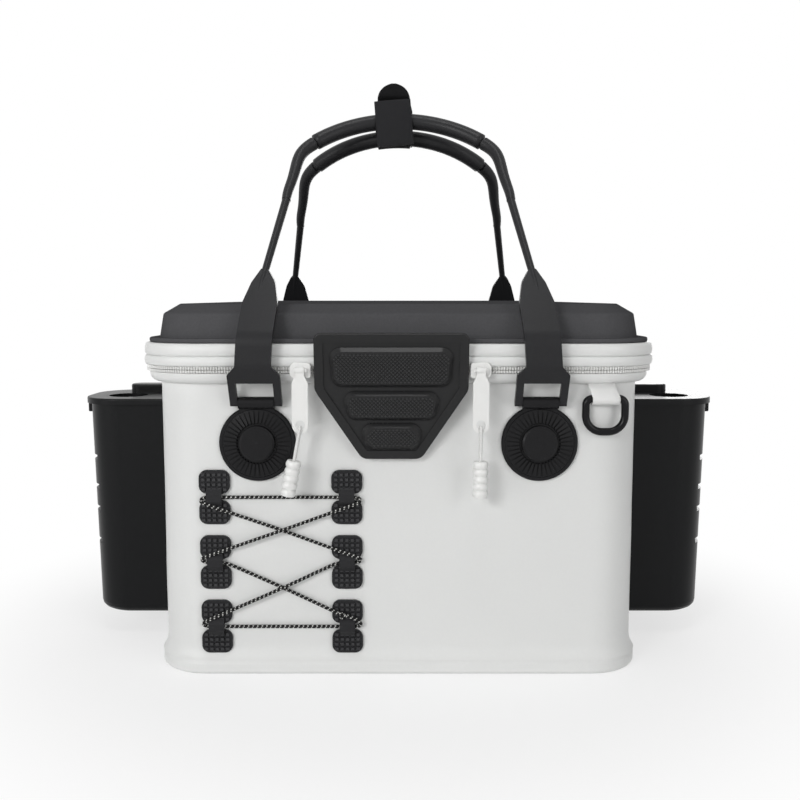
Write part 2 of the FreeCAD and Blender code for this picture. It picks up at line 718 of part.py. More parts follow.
def make_handle(arch):
    """One moulding: two ring frames with straps, and the rod that arches between them."""
    line = [(PIVOT_OUT, PIVOT_Z), (STRAP_OUT, STRAP_LOW_Z), (STRAP_OUT, STRAP_BEND_Z)]
    tip_s = arch.neck + 6
    tip = arch.at(0, tip_s)
    line.append((-tip.y - DEPTH / 2, tip.z))
    half_ring = RING_WIDTH / 2
    half_strap = STRAP_WIDTH / 2
    strip = across(bent_strip(line, [12, 16], STRAP_THICK), ANCHOR_X - half_ring, ANCHOR_X + half_ring)
    tip_x = NECK_X - 0.5
    lean_x = tip_x + (ANCHOR_X - tip_x) * (NECK_Z - STRAP_POINT_Z) / (NECK_Z - RING_TOP)
    outline = [
        (ANCHOR_X - half_ring, PIVOT_Z - 3.2), (ANCHOR_X + half_ring, PIVOT_Z - 3.2),
        (ANCHOR_X + half_ring, RING_TOP), (ANCHOR_X + half_strap, RING_TOP + 6),
        (lean_x + half_strap, STRAP_POINT_Z), (tip_x + LEAF_HALF, LEAF_Z), (tip_x + 2.4, NECK_Z + 6),
        (tip_x - 2.4, NECK_Z + 6), (tip_x - LEAF_HALF, LEAF_Z), (lean_x - half_strap, STRAP_POINT_Z),
        (ANCHOR_X - half_strap, RING_TOP + 6), (ANCHOR_X - half_ring, RING_TOP),
    ]
    radii = [1.5, 1.5, 3, 3, STRAP_LEAF_R, LEAF_R, 1.2, 1.2, LEAF_R, STRAP_LEAF_R, 3, 3]
    cutter = plate(outline, radii, front_y(2 * STRAP_OUT), front_y(-DEPTH / 2))
    strap = strip.common(cutter)
    half_window = WINDOW_WIDTH / 2
    window = box(ANCHOR_X - half_window, ANCHOR_X + half_window, front_y(2 * STRAP_OUT), front_y(-5),
                 PIVOT_Z - 10, WINDOW_TOP)
    bar = rod(ANCHOR_X - half_ring, ANCHOR_X + half_ring, PIVOT_OUT, PIVOT_Z, BAR_R)
    strap = strap.cut(window).fuse(bar)
    knee = arch.shoulder(arch.end)
    neck = arch.at(NECK_X, arch.neck)
    down = (neck - knee).normalize()
    leg = Part.makeCone(ROD_R, NECK_R, (neck - knee).Length, knee, down)
    ridge = Part.makeCone(NECK_R, RIDGE_END_R, RIDGE_LENGTH, neck, down)
    side = strap.fuse([leg, ridge, make_shoulder(arch, knee, down, (neck - knee).Length)])
    arcs = []
    for sign in (-1, 1):
        bend = [arch.shoulder(a) for a in (arch.half, (arch.half + arch.end) / 2, arch.end)]
        if sign < 0:
            bend = [V(-p.x, p.y, p.z) for p in reversed(bend)]
        arcs.append(Part.Arc(*bend).toShape())
    arcs.insert(1, Part.Arc(arch.top(-arch.half), arch.top(0), arch.top(arch.half)).toShape())
    start = arch.shoulder(arch.end)
    start = V(-start.x, start.y, start.z)
    end = Part.Wire(Part.Circle(start, V(down.x, -down.y, -down.z), ROD_R).toShape())
    bow = Part.Wire(arcs).makePipeShell([end], True, False)
    return bow.fuse([side, mirrored_x(side)])


def make_sleeve(arch):
    """Soft sleeve over the crown of the rod."""
    outer = arch.tube(SLEEVE_R, -arch.sleeve, arch.sleeve)
    return outer.cut(arch.tube(ROD_R + FIT, -arch.sleeve - 0.5, arch.sleeve + 0.5))


def wrap_loop(arch):
    """Tube of the wrap round a grip sleeve."""
    middle = math.degrees(WRAP_X / ARCH_R)
    outer = arch.tube(SLEEVE_R + FIT + WRAP_THICK, middle - WRAP_LOOP_ANGLE, middle + WRAP_LOOP_ANGLE)
    return outer, arch.tube(SLEEVE_R + FIT, middle - WRAP_LOOP_ANGLE - 1, middle + WRAP_LOOP_ANGLE + 1)


def make_front_wrap(arch):
    """Half of the wrap on the front handle: a loop round the grip and the panel in front of it."""
    outer, room = wrap_loop(arch)
    face = front_y(FRONT_GRIP_OUT) - SLEEVE_R - FIT - WRAP_THICK
    half = WRAP_WIDTH / 2
    points = [(WRAP_X + half, FRONT_GRIP_Z - WRAP_DOWN), (WRAP_X + half, FRONT_GRIP_Z + WRAP_UP),
              (WRAP_X - half, FRONT_GRIP_Z + WRAP_UP), (WRAP_X - half, FRONT_GRIP_Z - WRAP_DOWN)]
    panel = plate(points, [3, 3, 3, 3], face - WRAP_THICK + 0.5, face + 0.5)
    panel.rotate(V(WRAP_X, 0, FRONT_GRIP_Z), AXIS_Y, WRAP_LEAN)
    return outer.fuse(panel).cut(room)


def make_back_wrap(arch):
    """Half of the wrap on the back handle: a loop, a panel behind it and a round tab over the front grip."""
    outer, room = wrap_loop(arch)
    panel_out = BACK_GRIP_OUT + SLEEVE_R + FIT + WRAP_THICK * 1.5 - 0.4
    line = [(panel_out, BACK_GRIP_Z - BACK_WRAP_DOWN), (panel_out, BACK_GRIP_Z + BACK_WRAP_UP),
            (TAB_OUT, TAB_FOOT_Z), (TAB_OUT, TAB_TOP_Z)]
    strip = across(bent_strip(line, [6, 4], WRAP_THICK), WRAP_X - WRAP_WIDTH / 2, WRAP_X + WRAP_WIDTH / 2)
    half = WRAP_WIDTH / 2
    tab = TAB_WIDTH / 2
    shoulder = BACK_GRIP_Z + BACK_WRAP_UP + 2
    neck = shoulder + TAB_SHOULDER
    foot = BACK_GRIP_Z - BACK_WRAP_DOWN - 5
    points = [(WRAP_X + half, foot), (WRAP_X + half, shoulder), (WRAP_X + tab, neck),
              (WRAP_X + tab, TAB_TOP_Z), (WRAP_X - tab, TAB_TOP_Z), (WRAP_X - tab, neck),
              (WRAP_X - half, shoulder), (WRAP_X - half, foot)]
    crown = min(tab - 0.5, TAB_TOP_Z - neck - 2)
    radii = [1, 2, 2, crown, crown, 2, 2, 1]
    cutter = plate(points, radii, front_y(BACK_GRIP_OUT + DEPTH / 2), front_y(BACK_GRIP_OUT - DEPTH / 2))
    return outer.fuse(strip.common(cutter)).cut(room)


# Zip sliders and pulls

def make_slider():
    """Slider that straddles the zip, with a bail for its pull."""
    half = SLIDER_LENGTH / 2
    low = ZIP_Z - SLIDER_HEIGHT / 2
    high = ZIP_Z + SLIDER_HEIGHT / 2
    points = [(-half, low + 1), (half - 3, low), (half, low + 3), (half, high - 3), (half - 3, high),
              (-half, high - 1)]
    front = plate(points, [2, 2, 1.5, 1.5, 2, 2], front_y(SLIDER_OUT + SLIDER_PLATE), front_y(SLIDER_OUT))
    edge = [e for e in front.Edges if e.BoundBox.YMax < front_y(SLIDER_OUT + SLIDER_PLATE) + 0.01]
    front = front.makeFillet(0.6, edge)
    behind = box(-half, half, front_y(TAPE_IN - RUN), front_y(TAPE_IN - RUN - SLIDER_PLATE),
                 COLLAR_TOP + RUN, high)
    post = box(-SLIDER_POST / 2, SLIDER_POST / 2, front_y(SLIDER_OUT), front_y(TAPE_IN - RUN),
               ZIP_Z - 1.1, ZIP_Z + 1.1)
    bail = rod(-BAIL_HALF, BAIL_HALF, BAIL_OUT, BAIL_Z, BAIL_R)
    cheeks = []
    for sign in (-1, 1):
        x0 = sign * (BAIL_HALF + BARREL_HALF + RUN) / 2
        wide = (BAIL_HALF - BARREL_HALF - RUN) / 2
        cheeks.append(box(x0 - wide, x0 + wide, front_y(BAIL_OUT + BAIL_R),
                          front_y(SLIDER_OUT + SLIDER_PLATE), BAIL_Z - BAIL_R, BAIL_Z + BAIL_R))
    return front.fuse([behind, post, bail] + cheeks)


def make_pull():
    """Flat pull on the bail, with a hole at its lower end."""
    barrel = rod(-BARREL_HALF, BARREL_HALF, BAIL_OUT, BAIL_Z, BARREL_R)
    half = PULL_WIDTH / 2
    foot = BAIL_Z - PULL_LENGTH
    points = [(half, foot), (half, BAIL_Z - 9), (BARREL_HALF, BAIL_Z - 4), (BARREL_HALF, BAIL_Z),
              (-BARREL_HALF, BAIL_Z), (-BARREL_HALF, BAIL_Z - 4), (-half, BAIL_Z - 9), (-half, foot)]
    middle = front_y(BAIL_OUT)
    blade = plate(points, [half - 0.2, 2, 2, 0.3, 0.3, 2, 2, half - 0.2],
                  middle - PULL_THICK / 2, middle + PULL_THICK / 2)
    eye = rod(-BARREL_HALF - 1, BARREL_HALF + 1, BAIL_OUT, BAIL_Z, BAIL_R + RUN * 0.6)
    hole = Part.makeCylinder(PULL_HOLE_R, 10, V(0, middle - 5, foot + PULL_HOLE_UP), AXIS_Y)
    return barrel.fuse(blade).cut([eye, hole])


def pull_eye():
    """Middle of the cord where it hangs in the pull's hole."""
    return V(0, front_y(BAIL_OUT), BAIL_Z - PULL_LENGTH + PULL_HOLE_UP - PULL_HOLE_R + PULL_CORD_R + RUN)


def make_pull_cord():
    """Loop of thin cord through the pull's hole, both ends going into the grip."""
    eye = pull_eye()
    foot = -PULL_CORD_DROP
    spread = PULL_THICK / 2 + PULL_CORD_R + 0.5
    close = PULL_CORD_R + 0.15
    points = [V(0, -close, foot), V(0, -close, foot * 0.75), V(0, -spread, -5.0), V(0, -spread, 0),
              V(0, spread, 0), V(0, spread, -5.0), V(0, close, foot * 0.75), V(0, close, foot)]
    points = [eye + p for p in points]
    tube, length = tube_along(points, [8, 6, 2.0, 2.0, 6, 8], PULL_CORD_R)
    return tube


def make_grip():
    """Ribbed finger grip at the end of the pull's cord."""
    top = pull_eye() - V(0, 0, PULL_CORD_DROP)
    pitch = GRIP_LENGTH / GRIP_BEADS
    edges = [Part.LineSegment(top - V(0, 0, GRIP_LENGTH), top).toShape(),
             Part.LineSegment(top, top + V(GRIP_WAIST_R, 0, 0)).toShape()]
    for i in range(GRIP_BEADS):
        head = top + V(GRIP_WAIST_R, 0, -i * pitch)
        swell = head + V(GRIP_R - GRIP_WAIST_R, 0, -pitch / 2)
        bead = Part.BSplineCurve()
        bead.interpolate([head, swell, head - V(0, 0, pitch)])
        edges.append(bead.toShape())
    foot = top - V(0, 0, GRIP_LENGTH)
    edges.append(Part.LineSegment(foot + V(GRIP_WAIST_R, 0, 0), foot).toShape())
    return Part.Face(Part.Wire(edges)).revolve(top, AXIS_Z, 360)


def at_slider(shape, side, sway=0.0):
    """Set a piece of the zip pulls at the left or right slider."""
    if sway:
        shape.rotate(pull_eye(), AXIS_Y, sway)
    if side < 0:
        shape = mirrored_x(shape)
    shape.translate(V(SLIDER_RIGHT if side > 0 else SLIDER_LEFT, 0, 0))
    return shape


# D-ring

def make_d_ring():
    """Round-rod ring with a straight bar in the webbing."""
    y = front_y(RING_OUT)
    points = [V(RING_X + RING_HALF, y, RING_Z), V(RING_X + RING_HALF, y, RING_Z - RING_DROP),
              V(RING_X - RING_HALF, y, RING_Z - RING_DROP), V(RING_X - RING_HALF, y, RING_Z)]
    path = rounded_polygon(points, [RING_TOP_R, RING_FOOT_R, RING_FOOT_R, RING_TOP_R])
    end = Part.Wire(Part.Circle(V(RING_X, y, RING_Z), AXIS_X, RING_ROD_R).toShape())
    return path.makePipeShell([end], True, False)


def make_ring_web():
    """Webbing loop that holds the D-ring under the collar."""
    x0 = RING_X - WEB_WIDTH / 2
    x1 = RING_X + WEB_WIDTH / 2
    inner = RING_ROD_R + RUN
    loop = rod(x0, x1, RING_OUT, RING_Z, inner + WEB_THICK)
    leaf = box(x0, x1, front_y(2 * WEB_THICK), front_y(0), RING_Z, COLLAR_BOTTOM)
    return loop.fuse(leaf).cut(rod(x0 - 1, x1 + 1, RING_OUT, RING_Z, inner))


# Cord tabs and shock cord

def make_cord_tab(x, z):
    """Tab with two square lobes and a raised bridge that the cord runs under."""
    lobes = []
    half = LOBE_WIDTH / 2
    for sign in (-1, 1):
        mid = z + sign * LOBE_PITCH / 2
        points = [(x + half, mid - LOBE_HEIGHT / 2), (x + half, mid + LOBE_HEIGHT / 2),
                  (x - half, mid + LOBE_HEIGHT / 2), (x - half, mid - LOBE_HEIGHT / 2)]
        lobes.append(plate(points, [LOBE_R] * 4, front_y(LOBE_THICK), front_y(0)))
    foot = LOBE_PITCH / 2 - 3
    face = profile((0, z - foot), (LOBE_THICK, z - foot), (BRIDGE_TOP, z - BRIDGE_HALF),
                   (BRIDGE_TOP, z + BRIDGE_HALF), (LOBE_THICK, z + foot), (0, z + foot),
                   (0, z + TUNNEL_HALF), (TUNNEL_TOP, z + TUNNEL_HALF), (TUNNEL_TOP, z - TUNNEL_HALF),
                   (0, z - TUNNEL_HALF))
    bridge = across(face, x - BRIDGE_WIDTH / 2, x + BRIDGE_WIDTH / 2)
    return bridge.fuse(lobes)


def turn_at(x, z, side, way):
    """Points of the cord's turn beside a tab: from its tunnel round to one lobe, up or down."""
    edge = x + side * CORD_TURN
    return [(edge - side * 3.0, z, CORD_LOW + 0.2), (edge, z + way * 4.2, CORD_LOW + 1.4),
            (edge - side * 3.0, z + way * 8.4, CORD_OVER)]


def off_lobe(x, start, end):
    """Point where a run that sinks to a crossing leaves the lobe it starts on."""
    share = (x - start[0]) / (end[0] - start[0])
    return (x, start[1] + share * (end[1] - start[1]), CORD_OVER - 0.2)


def cord_points():
    """Route of the shock cord through the six tabs, from the knot and back to it."""
    left, right = TAB_COLUMNS
    top, middle, foot = TAB_ROWS
    reach = LOBE_WIDTH / 2 + 1.5
    upper = ((left + right) / 2, (top + middle) / 2)
    lower = ((left + right) / 2, (middle + foot) / 2 + 0.8)
    knot = (right - 4.5, foot + 9.6)
    leave = LOBE_WIDTH / 2 - 3.9
    route = [knot + (CORD_OVER + 0.4,), off_lobe(right - reach, knot, lower), lower + (CORD_UNDER_CROSS,),
             (left + leave, middle + 0.3, CORD_LOW)]
    route += turn_at(left, middle, -1, 1)
    route.append(upper + (CORD_OVER_CROSS,))
    route += reversed(turn_at(right, top, 1, -1))
    route += turn_at(left, top, -1, -1)
    route.append(off_lobe(left + reach, route[-1], upper))
    route.append(upper + (CORD_UNDER_CROSS,))
    end = turn_at(right, middle, 1, 1)
    route.append(off_lobe(right - reach, end[-1], upper))
    route += reversed(end)
    route += [(right - leave, middle + 0.3, CORD_LOW), lower + (CORD_OVER_CROSS,)]
    route += reversed(turn_at(left, foot, -1, 1))
    route += turn_at(right, foot, 1, 1)
    route.append((knot[0] + 1.5, knot[1] + 0.2, CORD_OVER + 0.4))
    return [V(x, front_y(out), z) for x, z, out in route]


def make_shock_cord():
    """Shock cord in one length, laced through the tabs."""
    points = cord_points()
    radii = []
    for before, at, after in zip(points, points[1:], points[2:]):
        turn = math.pi - (before - at).getAngle(after - at)
        radii.append(0.45 * min((before - at).Length, (after - at).Length) / math.tan(turn / 2))
    tube, length = tube_along(points, radii, CORD_R)
    print("shock cord bend radii", [round(r, 1) for r in radii])
    ratio = tube.Volume / (math.pi * CORD_R ** 2 * length)
    print("shock cord volume over section times length", round(ratio, 4))
    return tube


def make_knot():
    """Knot that joins the two ends of the cord."""
    points = cord_points()
    middle = (points[0] + points[-1]) * 0.5
    return Part.makeSphere(KNOT_R, V(middle.x, front_y(LOBE_THICK + FIT + KNOT_R), middle.z))


# Rod holders

def holder_line(x_in, x_out, half, r_out, r_in, z):
    """Plan outline of a rod holder: flat against the bracket, round outside."""
    base = WIDTH / 2
    points = [V(base + x_in, -half, z), V(base + x_out, -half, z), V(base + x_out, half, z),
              V(base + x_in, half, z)]
    return rounded_polygon(points, [r_in, r_out, r_out, r_in])


def make_holder_shell():
    """Hollow holder with a rim, a flat deck, a lug and finger grooves."""
    rim_z = HOLDER_TOP - HOLDER_RIM_HEIGHT
    lines = []
    for step in range(5):
        turn = math.radians(22.5 * step)
        inset = HOLDER_EDGE_R * (1 - math.sin(turn))
        rise = HOLDER_EDGE_R * (1 - math.cos(turn))
        lines.append(holder_line(HOLDER_BACK, HOLDER_FOOT_OUT - inset, HOLDER_FOOT_HALF - inset,
                                 HOLDER_R - inset * 0.5, HOLDER_BACK_R, HOLDER_BOTTOM + rise))
    lines.append(holder_line(HOLDER_BACK, HOLDER_OUT, HOLDER_HALF, HOLDER_R, HOLDER_BACK_R, rim_z))
    form = Part.makeLoft(lines, True, True)
    rim = slab(holder_line(HOLDER_BACK, HOLDER_OUT + HOLDER_RIM, HOLDER_HALF + HOLDER_RIM,
                           HOLDER_R + HOLDER_RIM, HOLDER_BACK_R, rim_z), HOLDER_RIM_HEIGHT)
    rim = rim.makeFillet(1.2, [e for e in rim.Edges if e.BoundBox.ZMin > HOLDER_TOP - 0.01])
    lug = box(WIDTH / 2 + HOLDER_OUT - 4, WIDTH / 2 + LUG_OUT, -LUG_HALF, LUG_HALF,
              HOLDER_TOP - LUG_HEIGHT, HOLDER_TOP - 1.5)
    lug = lug.makeFillet(1.4, [e for e in lug.Edges if e.BoundBox.XMin > WIDTH / 2 + LUG_OUT - 0.01])
    skin = HOLDER_SKIN
    narrow = skin + HOLDER_EDGE_R * 0.3
    hollow = Part.makeLoft([
        holder_line(HOLDER_BACK + skin, HOLDER_FOOT_OUT - narrow, HOLDER_FOOT_HALF - narrow,
                    HOLDER_R - skin, 3.0, HOLDER_BOTTOM + skin),
        holder_line(HOLDER_BACK + skin, HOLDER_OUT - skin, HOLDER_HALF - skin, HOLDER_R - skin, 3.0,
                    HOLDER_TOP - HOLDER_DECK)], True, True)
    mouth = Part.makeCylinder(TUBE_R + TUBE_SKIN + FIT, HOLDER_DECK + 2,
                              V(WIDTH / 2 + TUBE_X, TUBE_Y, HOLDER_TOP - HOLDER_DECK - 1))
    grooves = []
    for z in GROOVES:
        share = (z - HOLDER_BOTTOM) / (rim_z - HOLDER_BOTTOM)
        out = HOLDER_FOOT_OUT + share * (HOLDER_OUT - HOLDER_FOOT_OUT)
        half = HOLDER_FOOT_HALF + share * (HOLDER_HALF - HOLDER_FOOT_HALF)
        foot = z - GROOVE_HEIGHT / 2
        deep = GROOVE_DEPTH
        around = slab(holder_line(HOLDER_BACK, out + deep, half + deep, HOLDER_R + deep, HOLDER_BACK_R, foot),
                      GROOVE_HEIGHT)
        core = slab(holder_line(HOLDER_BACK, out - deep, half - deep, HOLDER_R - deep, HOLDER_BACK_R, foot),
                    GROOVE_HEIGHT)
        reach = box(WIDTH / 2 + HOLDER_OUT - HOLDER_R, WIDTH / 2 + HOLDER_OUT + 2 * deep, -GROOVE_HALF, GROOVE_HALF,
                    foot, foot + GROOVE_HEIGHT)
        grooves.append(around.cut(core).common(reach))
    return form.fuse([rim, lug]).cut([hollow, mouth] + grooves)


def make_rod_tube():
    """Round tube inside a holder that takes the rod's butt."""
    foot = HOLDER_BOTTOM + HOLDER_SKIN
    at = V(WIDTH / 2 + TUBE_X, TUBE_Y, foot)
    outer = Part.makeCylinder(TUBE_R + TUBE_SKIN, HOLDER_TOP - foot, at)
    return outer.cut(Part.makeCylinder(TUBE_R, HOLDER_TOP - foot, at))


def make_bracket():
    """Plate on the wall with a tongue over the holder's deck."""
    half = BRACKET_HALF
    base = WIDTH / 2
    points = [V(base, half, BRACKET_FOOT), V(base, half, HOLDER_TOP), V(base, -half, HOLDER_TOP),
              V(base, -half, BRACKET_FOOT)]
    back = Part.Face(rounded_polygon(points, [8, 2, 2, 8])).extrude(V(HOLDER_BACK, 0, 0))
    width = (TONGUE_Y1 - TONGUE_Y0) / 2
    reach = [V(base, TONGUE_Y0, HOLDER_TOP), V(base + TONGUE_OUT, TONGUE_Y0, HOLDER_TOP),
             V(base + TONGUE_OUT, TONGUE_Y1, HOLDER_TOP), V(base, TONGUE_Y1, HOLDER_TOP)]
    outline = rounded_polygon(reach, [0.5, width - 0.5, width - 0.5, 0.5])
    tongue = slab(outline, TONGUE_THICK)
    upper = [e for e in tongue.Edges if e.BoundBox.ZMin > HOLDER_TOP + TONGUE_THICK - 0.01]
    tongue = tongue.makeFillet(1.5, upper)
    boss = box(base, base + 14, TONGUE_Y0 + 1, TONGUE_Y1 - 1, HOLDER_TOP, BRACKET_TOP)
    upper = [e for e in boss.Edges if e.BoundBox.ZMin > BRACKET_TOP - 0.01 and e.BoundBox.XMax > base + 1]
    boss = boss.makeFillet(2.5, upper)
    holes = screw_holes(SCREW_R + FIT, base - 1, base + SCREW_GRIP + 0.3, 1)
    return back.fuse([tongue, boss]).cut(holes)


def make_backing():
    """Plate inside the wall that the screws' heads bear on."""
    x = WIDTH / 2 - WALL - BACKING_THICK
    half = BRACKET_HALF
    points = [V(x, half, BACKING_FOOT), V(x, half, BACKING_TOP), V(x, -half, BACKING_TOP),
              V(x, -half, BACKING_FOOT)]
    form = Part.Face(rounded_polygon(points, [8] * 4)).extrude(V(BACKING_THICK, 0, 0))
    return form.cut(screw_holes(SCREW_R + FIT, x - 1, x + BACKING_THICK + 1, 1))


def make_screws():
    """Pan-head screws of one holder, from inside the bucket."""
    x = WIDTH / 2 - WALL - BACKING_THICK
    screws = []
    for y, z in screw_places():
        shank = Part.makeCylinder(SCREW_R, WALL + BACKING_THICK + SCREW_GRIP, V(x, y, z), AXIS_X)
        head = Part.makeCylinder(SCREW_HEAD_R, SCREW_HEAD, V(x - SCREW_HEAD, y, z), AXIS_X)
        head = head.makeFillet(1.2, [e for e in head.Edges if e.BoundBox.XMax < x - SCREW_HEAD + 0.01])
        screws.append(shank.fuse(head))
    return Part.makeCompound(screws)


# Assembly

def make_nodes():
    """Every piece of the bucket by name."""
    nodes = {}
    nodes["base_tray"] = make_base_tray()
    nodes["bucket_wall"] = make_wall()
    nodes["floor_panel"] = make_floor_panel()
    nodes["rim_collar"] = make_collar()
    nodes["mouth_frame"] = make_mouth_frame()
    nodes["lower_zip"] = make_tape(COLLAR_TOP, ZIP_Z - FIT)
    nodes["hinge_strip"] = make_hinge_strip()
    loop = make_anchor_loop()
    patch = make_patch()
    for place, turn in (("front", lambda s: s), ("back", mirrored_y)):
        nodes[place + "_right_anchor_loop"] = turn(loop)
        nodes[place + "_left_anchor_loop"] = turn(mirrored_x(loop))
        nodes[place + "_right_patch"] = turn(patch)
        nodes[place + "_left_patch"] = turn(mirrored_x(patch))
    nodes["ring_web"] = make_ring_web()
    nodes["d_ring"] = make_d_ring()
    for row, z in zip(("top", "middle", "bottom"), TAB_ROWS):
        for column, x in zip(("left", "right"), TAB_COLUMNS):
            nodes["cord_tab_" + row + "_" + column] = make_cord_tab(x, z)
    nodes["shock_cord"] = make_shock_cord()
    nodes["cord_knot"] = make_knot()
    nodes["flap_keeper"] = make_flap_keeper()
    holder = {"holder_shell": make_holder_shell(), "rod_tube": make_rod_tube(),
              "holder_bracket": make_bracket(), "holder_backing": make_backing(),
              "holder_screws": make_screws()}
    for name, shape in holder.items():
        nodes["right_" + name] = shape
        nodes["left_" + name] = mirrored_x(shape)
    nodes["lid_shell"] = make_lid_shell()
    nodes["lid_band"] = make_lid_band()
    nodes["upper_zip"] = make_tape(ZIP_Z + FIT, TAPE_TOP)
    nodes["hinge_leaf"] = make_hinge_leaf()
    nodes["flap_hinge"] = make_flap_bead(nodes["lid_shell"])
    nodes["front_flap"] = make_flap()
    nodes["flap_magnet"] = make_flap_magnet()
    front = Arch(FRONT_GRIP_OUT, FRONT_GRIP_Z)
    nodes["front_handle"] = make_handle(front)
    nodes["front_grip"] = make_sleeve(front)
    nodes["front_wrap"] = make_front_wrap(front)
    back = Arch(BACK_GRIP_OUT, BACK_GRIP_Z)
    nodes["back_handle"] = mirrored_y(make_handle(back))
    nodes["back_grip"] = mirrored_y(make_sleeve(back))
    nodes["back_wrap"] = mirrored_y(make_back_wrap(back))
    for name, side, sway in (("left", -1, LEFT_GRIP_SWAY), ("right", 1, 0.0)):
        nodes[name + "_slider"] = at_slider(make_slider(), side)
        nodes[name + "_pull"] = at_slider(make_pull(), side)
        nodes[name + "_pull_cord"] = at_slider(make_pull_cord(), side, -sway)
        nodes[name + "_pull_grip"] = at_slider(make_grip(), side, -sway)
    return nodes


def main():
    """Build every node and write its STEP file."""
    os.makedirs("parts", exist_ok=True)
    for name, shape in make_nodes().items():
        if not shape.isValid():
            print("not valid:", name)
        shape.exportStep("parts/" + name + ".step")


main()
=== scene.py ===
import json
import math

import bmesh
import bpy
from bpy.props import FloatProperty, FloatVectorProperty, IntProperty, PointerProperty
from mathutils import Matrix, Vector


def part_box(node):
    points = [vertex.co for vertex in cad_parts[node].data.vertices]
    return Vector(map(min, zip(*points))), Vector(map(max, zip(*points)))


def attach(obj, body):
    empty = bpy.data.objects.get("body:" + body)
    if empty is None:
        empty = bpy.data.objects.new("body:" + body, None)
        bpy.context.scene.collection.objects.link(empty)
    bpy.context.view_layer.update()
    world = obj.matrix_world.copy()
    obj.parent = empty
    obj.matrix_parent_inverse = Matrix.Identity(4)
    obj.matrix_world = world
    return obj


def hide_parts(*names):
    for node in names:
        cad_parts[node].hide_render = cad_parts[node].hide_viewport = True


bl_info = {
    "name": "Fishing bucket",
    "version": (1, 0, 0),
    "blender": (4, 5, 0),
    "location": "View3D > Sidebar > Bucket",
    "description": "Dresses the packed fishing bucket with sheet, zip, cords, webbing and moulded finishes",
    "category": "Object",
}

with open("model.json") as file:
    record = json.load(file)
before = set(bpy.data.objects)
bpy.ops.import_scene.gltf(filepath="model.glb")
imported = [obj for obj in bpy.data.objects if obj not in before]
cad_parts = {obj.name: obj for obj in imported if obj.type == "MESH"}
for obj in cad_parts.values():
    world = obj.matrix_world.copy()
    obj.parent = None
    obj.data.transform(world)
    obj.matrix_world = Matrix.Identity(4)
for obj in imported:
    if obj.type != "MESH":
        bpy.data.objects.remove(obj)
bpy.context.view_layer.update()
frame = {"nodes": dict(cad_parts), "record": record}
nodes = frame["nodes"]

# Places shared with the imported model, in metres
HALF_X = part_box("bucket_wall")[1].x
HALF_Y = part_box("bucket_wall")[1].y
WALL_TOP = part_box("bucket_wall")[1].z
CORNER_R = 0.036
SLIDERS = {"left": -0.0700, "right": 0.0587}
POST_RUNS = ((-0.0776, -0.0669), (0.0556, 0.0663))
WALL_FOOT = 0.0112
WALL_PLAIN = 0.0272
WALL_THICK = 0.003
FLOOR_TOP = 0.0025
FLARE_TOP = 0.0260
FLARE_OUT = 0.00375
COLLAR_OUT = 0.0084
COLLAR_FOOT = 0.2186
COLLAR_RISE = 0.0070
COLLAR_START = (0.0002, 0.2183)
COLLAR_END = [(COLLAR_OUT, 0.2262), (0.0078, 0.2267), (-0.0028, 0.2267), (-0.0029, 0.2231), (0.0002, 0.2231)]
BAND_FOOT = 0.2315
BAND_HEAD = 0.2479
LOWER_ROLL_OUT = 0.0104
LOWER_ROLL_RISE = 0.0071
UPPER_ROLL_OUT = 0.0100
UPPER_ROLL_FOOT = 0.2389
UPPER_ROLL_RISE = 0.0090
GROOVE_OUT = 0.0101
GROOVE_HEIGHT = 0.2387

# Zip tapes: name, body, lower and upper height and the node that they replace
ZIP_TAPES = (
    ("lower_tape", "bucket", 0.2269, 0.2288, "lower_zip"),
    ("upper_tape", "lid", 0.2292, 0.2314, "upper_zip"),
)
TAPE_ROOT = 0.0041
TAPE_FLAT = 0.0092
TAPE_BEVEL = 0.0003
TAPE_REACH = 0.0094
TAPE_END_REACH = 0.0064
TEETH_OUT = 0.0096
TEETH_END_OUT = 0.0068
TEETH_END_Y = HALF_Y + 0.002
TOOTH_DEPTH = 0.0020
STATION_GAP = 0.006

# Flap and cord tabs: each pad has its drop from the flap's top, its height and its half widths
FLAP_TOP = Vector((-0.005, -0.137, 0.256))
FLAP_TILT = math.radians(9.0)
PAD_FACE = 0.0076
PADS = (
    (0.0096, 0.0288, 0.0445, 0.0425),
    (0.0416, 0.0214, 0.0360, 0.0315),
    (0.0654, 0.0198, 0.0235, 0.0195),
)
HATCH_INSET = 0.0038
HATCH_CORNER_R = 0.0052
HATCH_REACH = 0.15
HATCH_MIDDLE = -0.045
TAB_COLUMNS = (-0.1353, -0.0380)
TAB_ROWS = (0.1348, 0.0858, 0.0368)
LOBE_PITCH = 0.0228
LOBE_FACE = -0.1220
SQUARES_WIDTH = 0.0158
SQUARES_HEIGHT = 0.0110
SQUARE = (0.0029, 0.0027, 0.0014)

# Handles, grips and wraps; the back wrap's line is in (y, z)
ARCH_R = 0.105
ARCH_FOOT = Vector((0.0, -0.140, 0.252))
SLEEVE_ANGLES = {"front": 40.7, "back": 42.5}
FRONT_GRIP = Vector((0.0, -0.008, 0.4248))
BACK_GRIP = Vector((0.0, 0.005, 0.4133))
WRAP_X = -0.004
LOOP_INNER_R = 0.0066
LOOP_OUTER_R = 0.0081
LOOP_SIDES = 28
SLEEVE_R = 0.0063
SLEEVE_EDGE = 0.0014
BLUNT_END = 0.25
CLOTH = 0.0017
PANEL_WIDTH = 0.0295
PANEL_HEIGHT = 0.0364
PANEL_FOOT = -0.021
PANEL_AHEAD = 0.0087
PANEL_EASE = 0.0004
PANEL_BOW = 0.0007
PANEL_SLANT = math.radians(-4.5)
BACK_HALF = 0.0155
TAB_HALF = 0.0133
SHOULDER_FOOT = 0.4353
SHOULDER_HEAD = 0.4403
TAB_FOOT = 0.4405
TAB_RISE = 0.0132
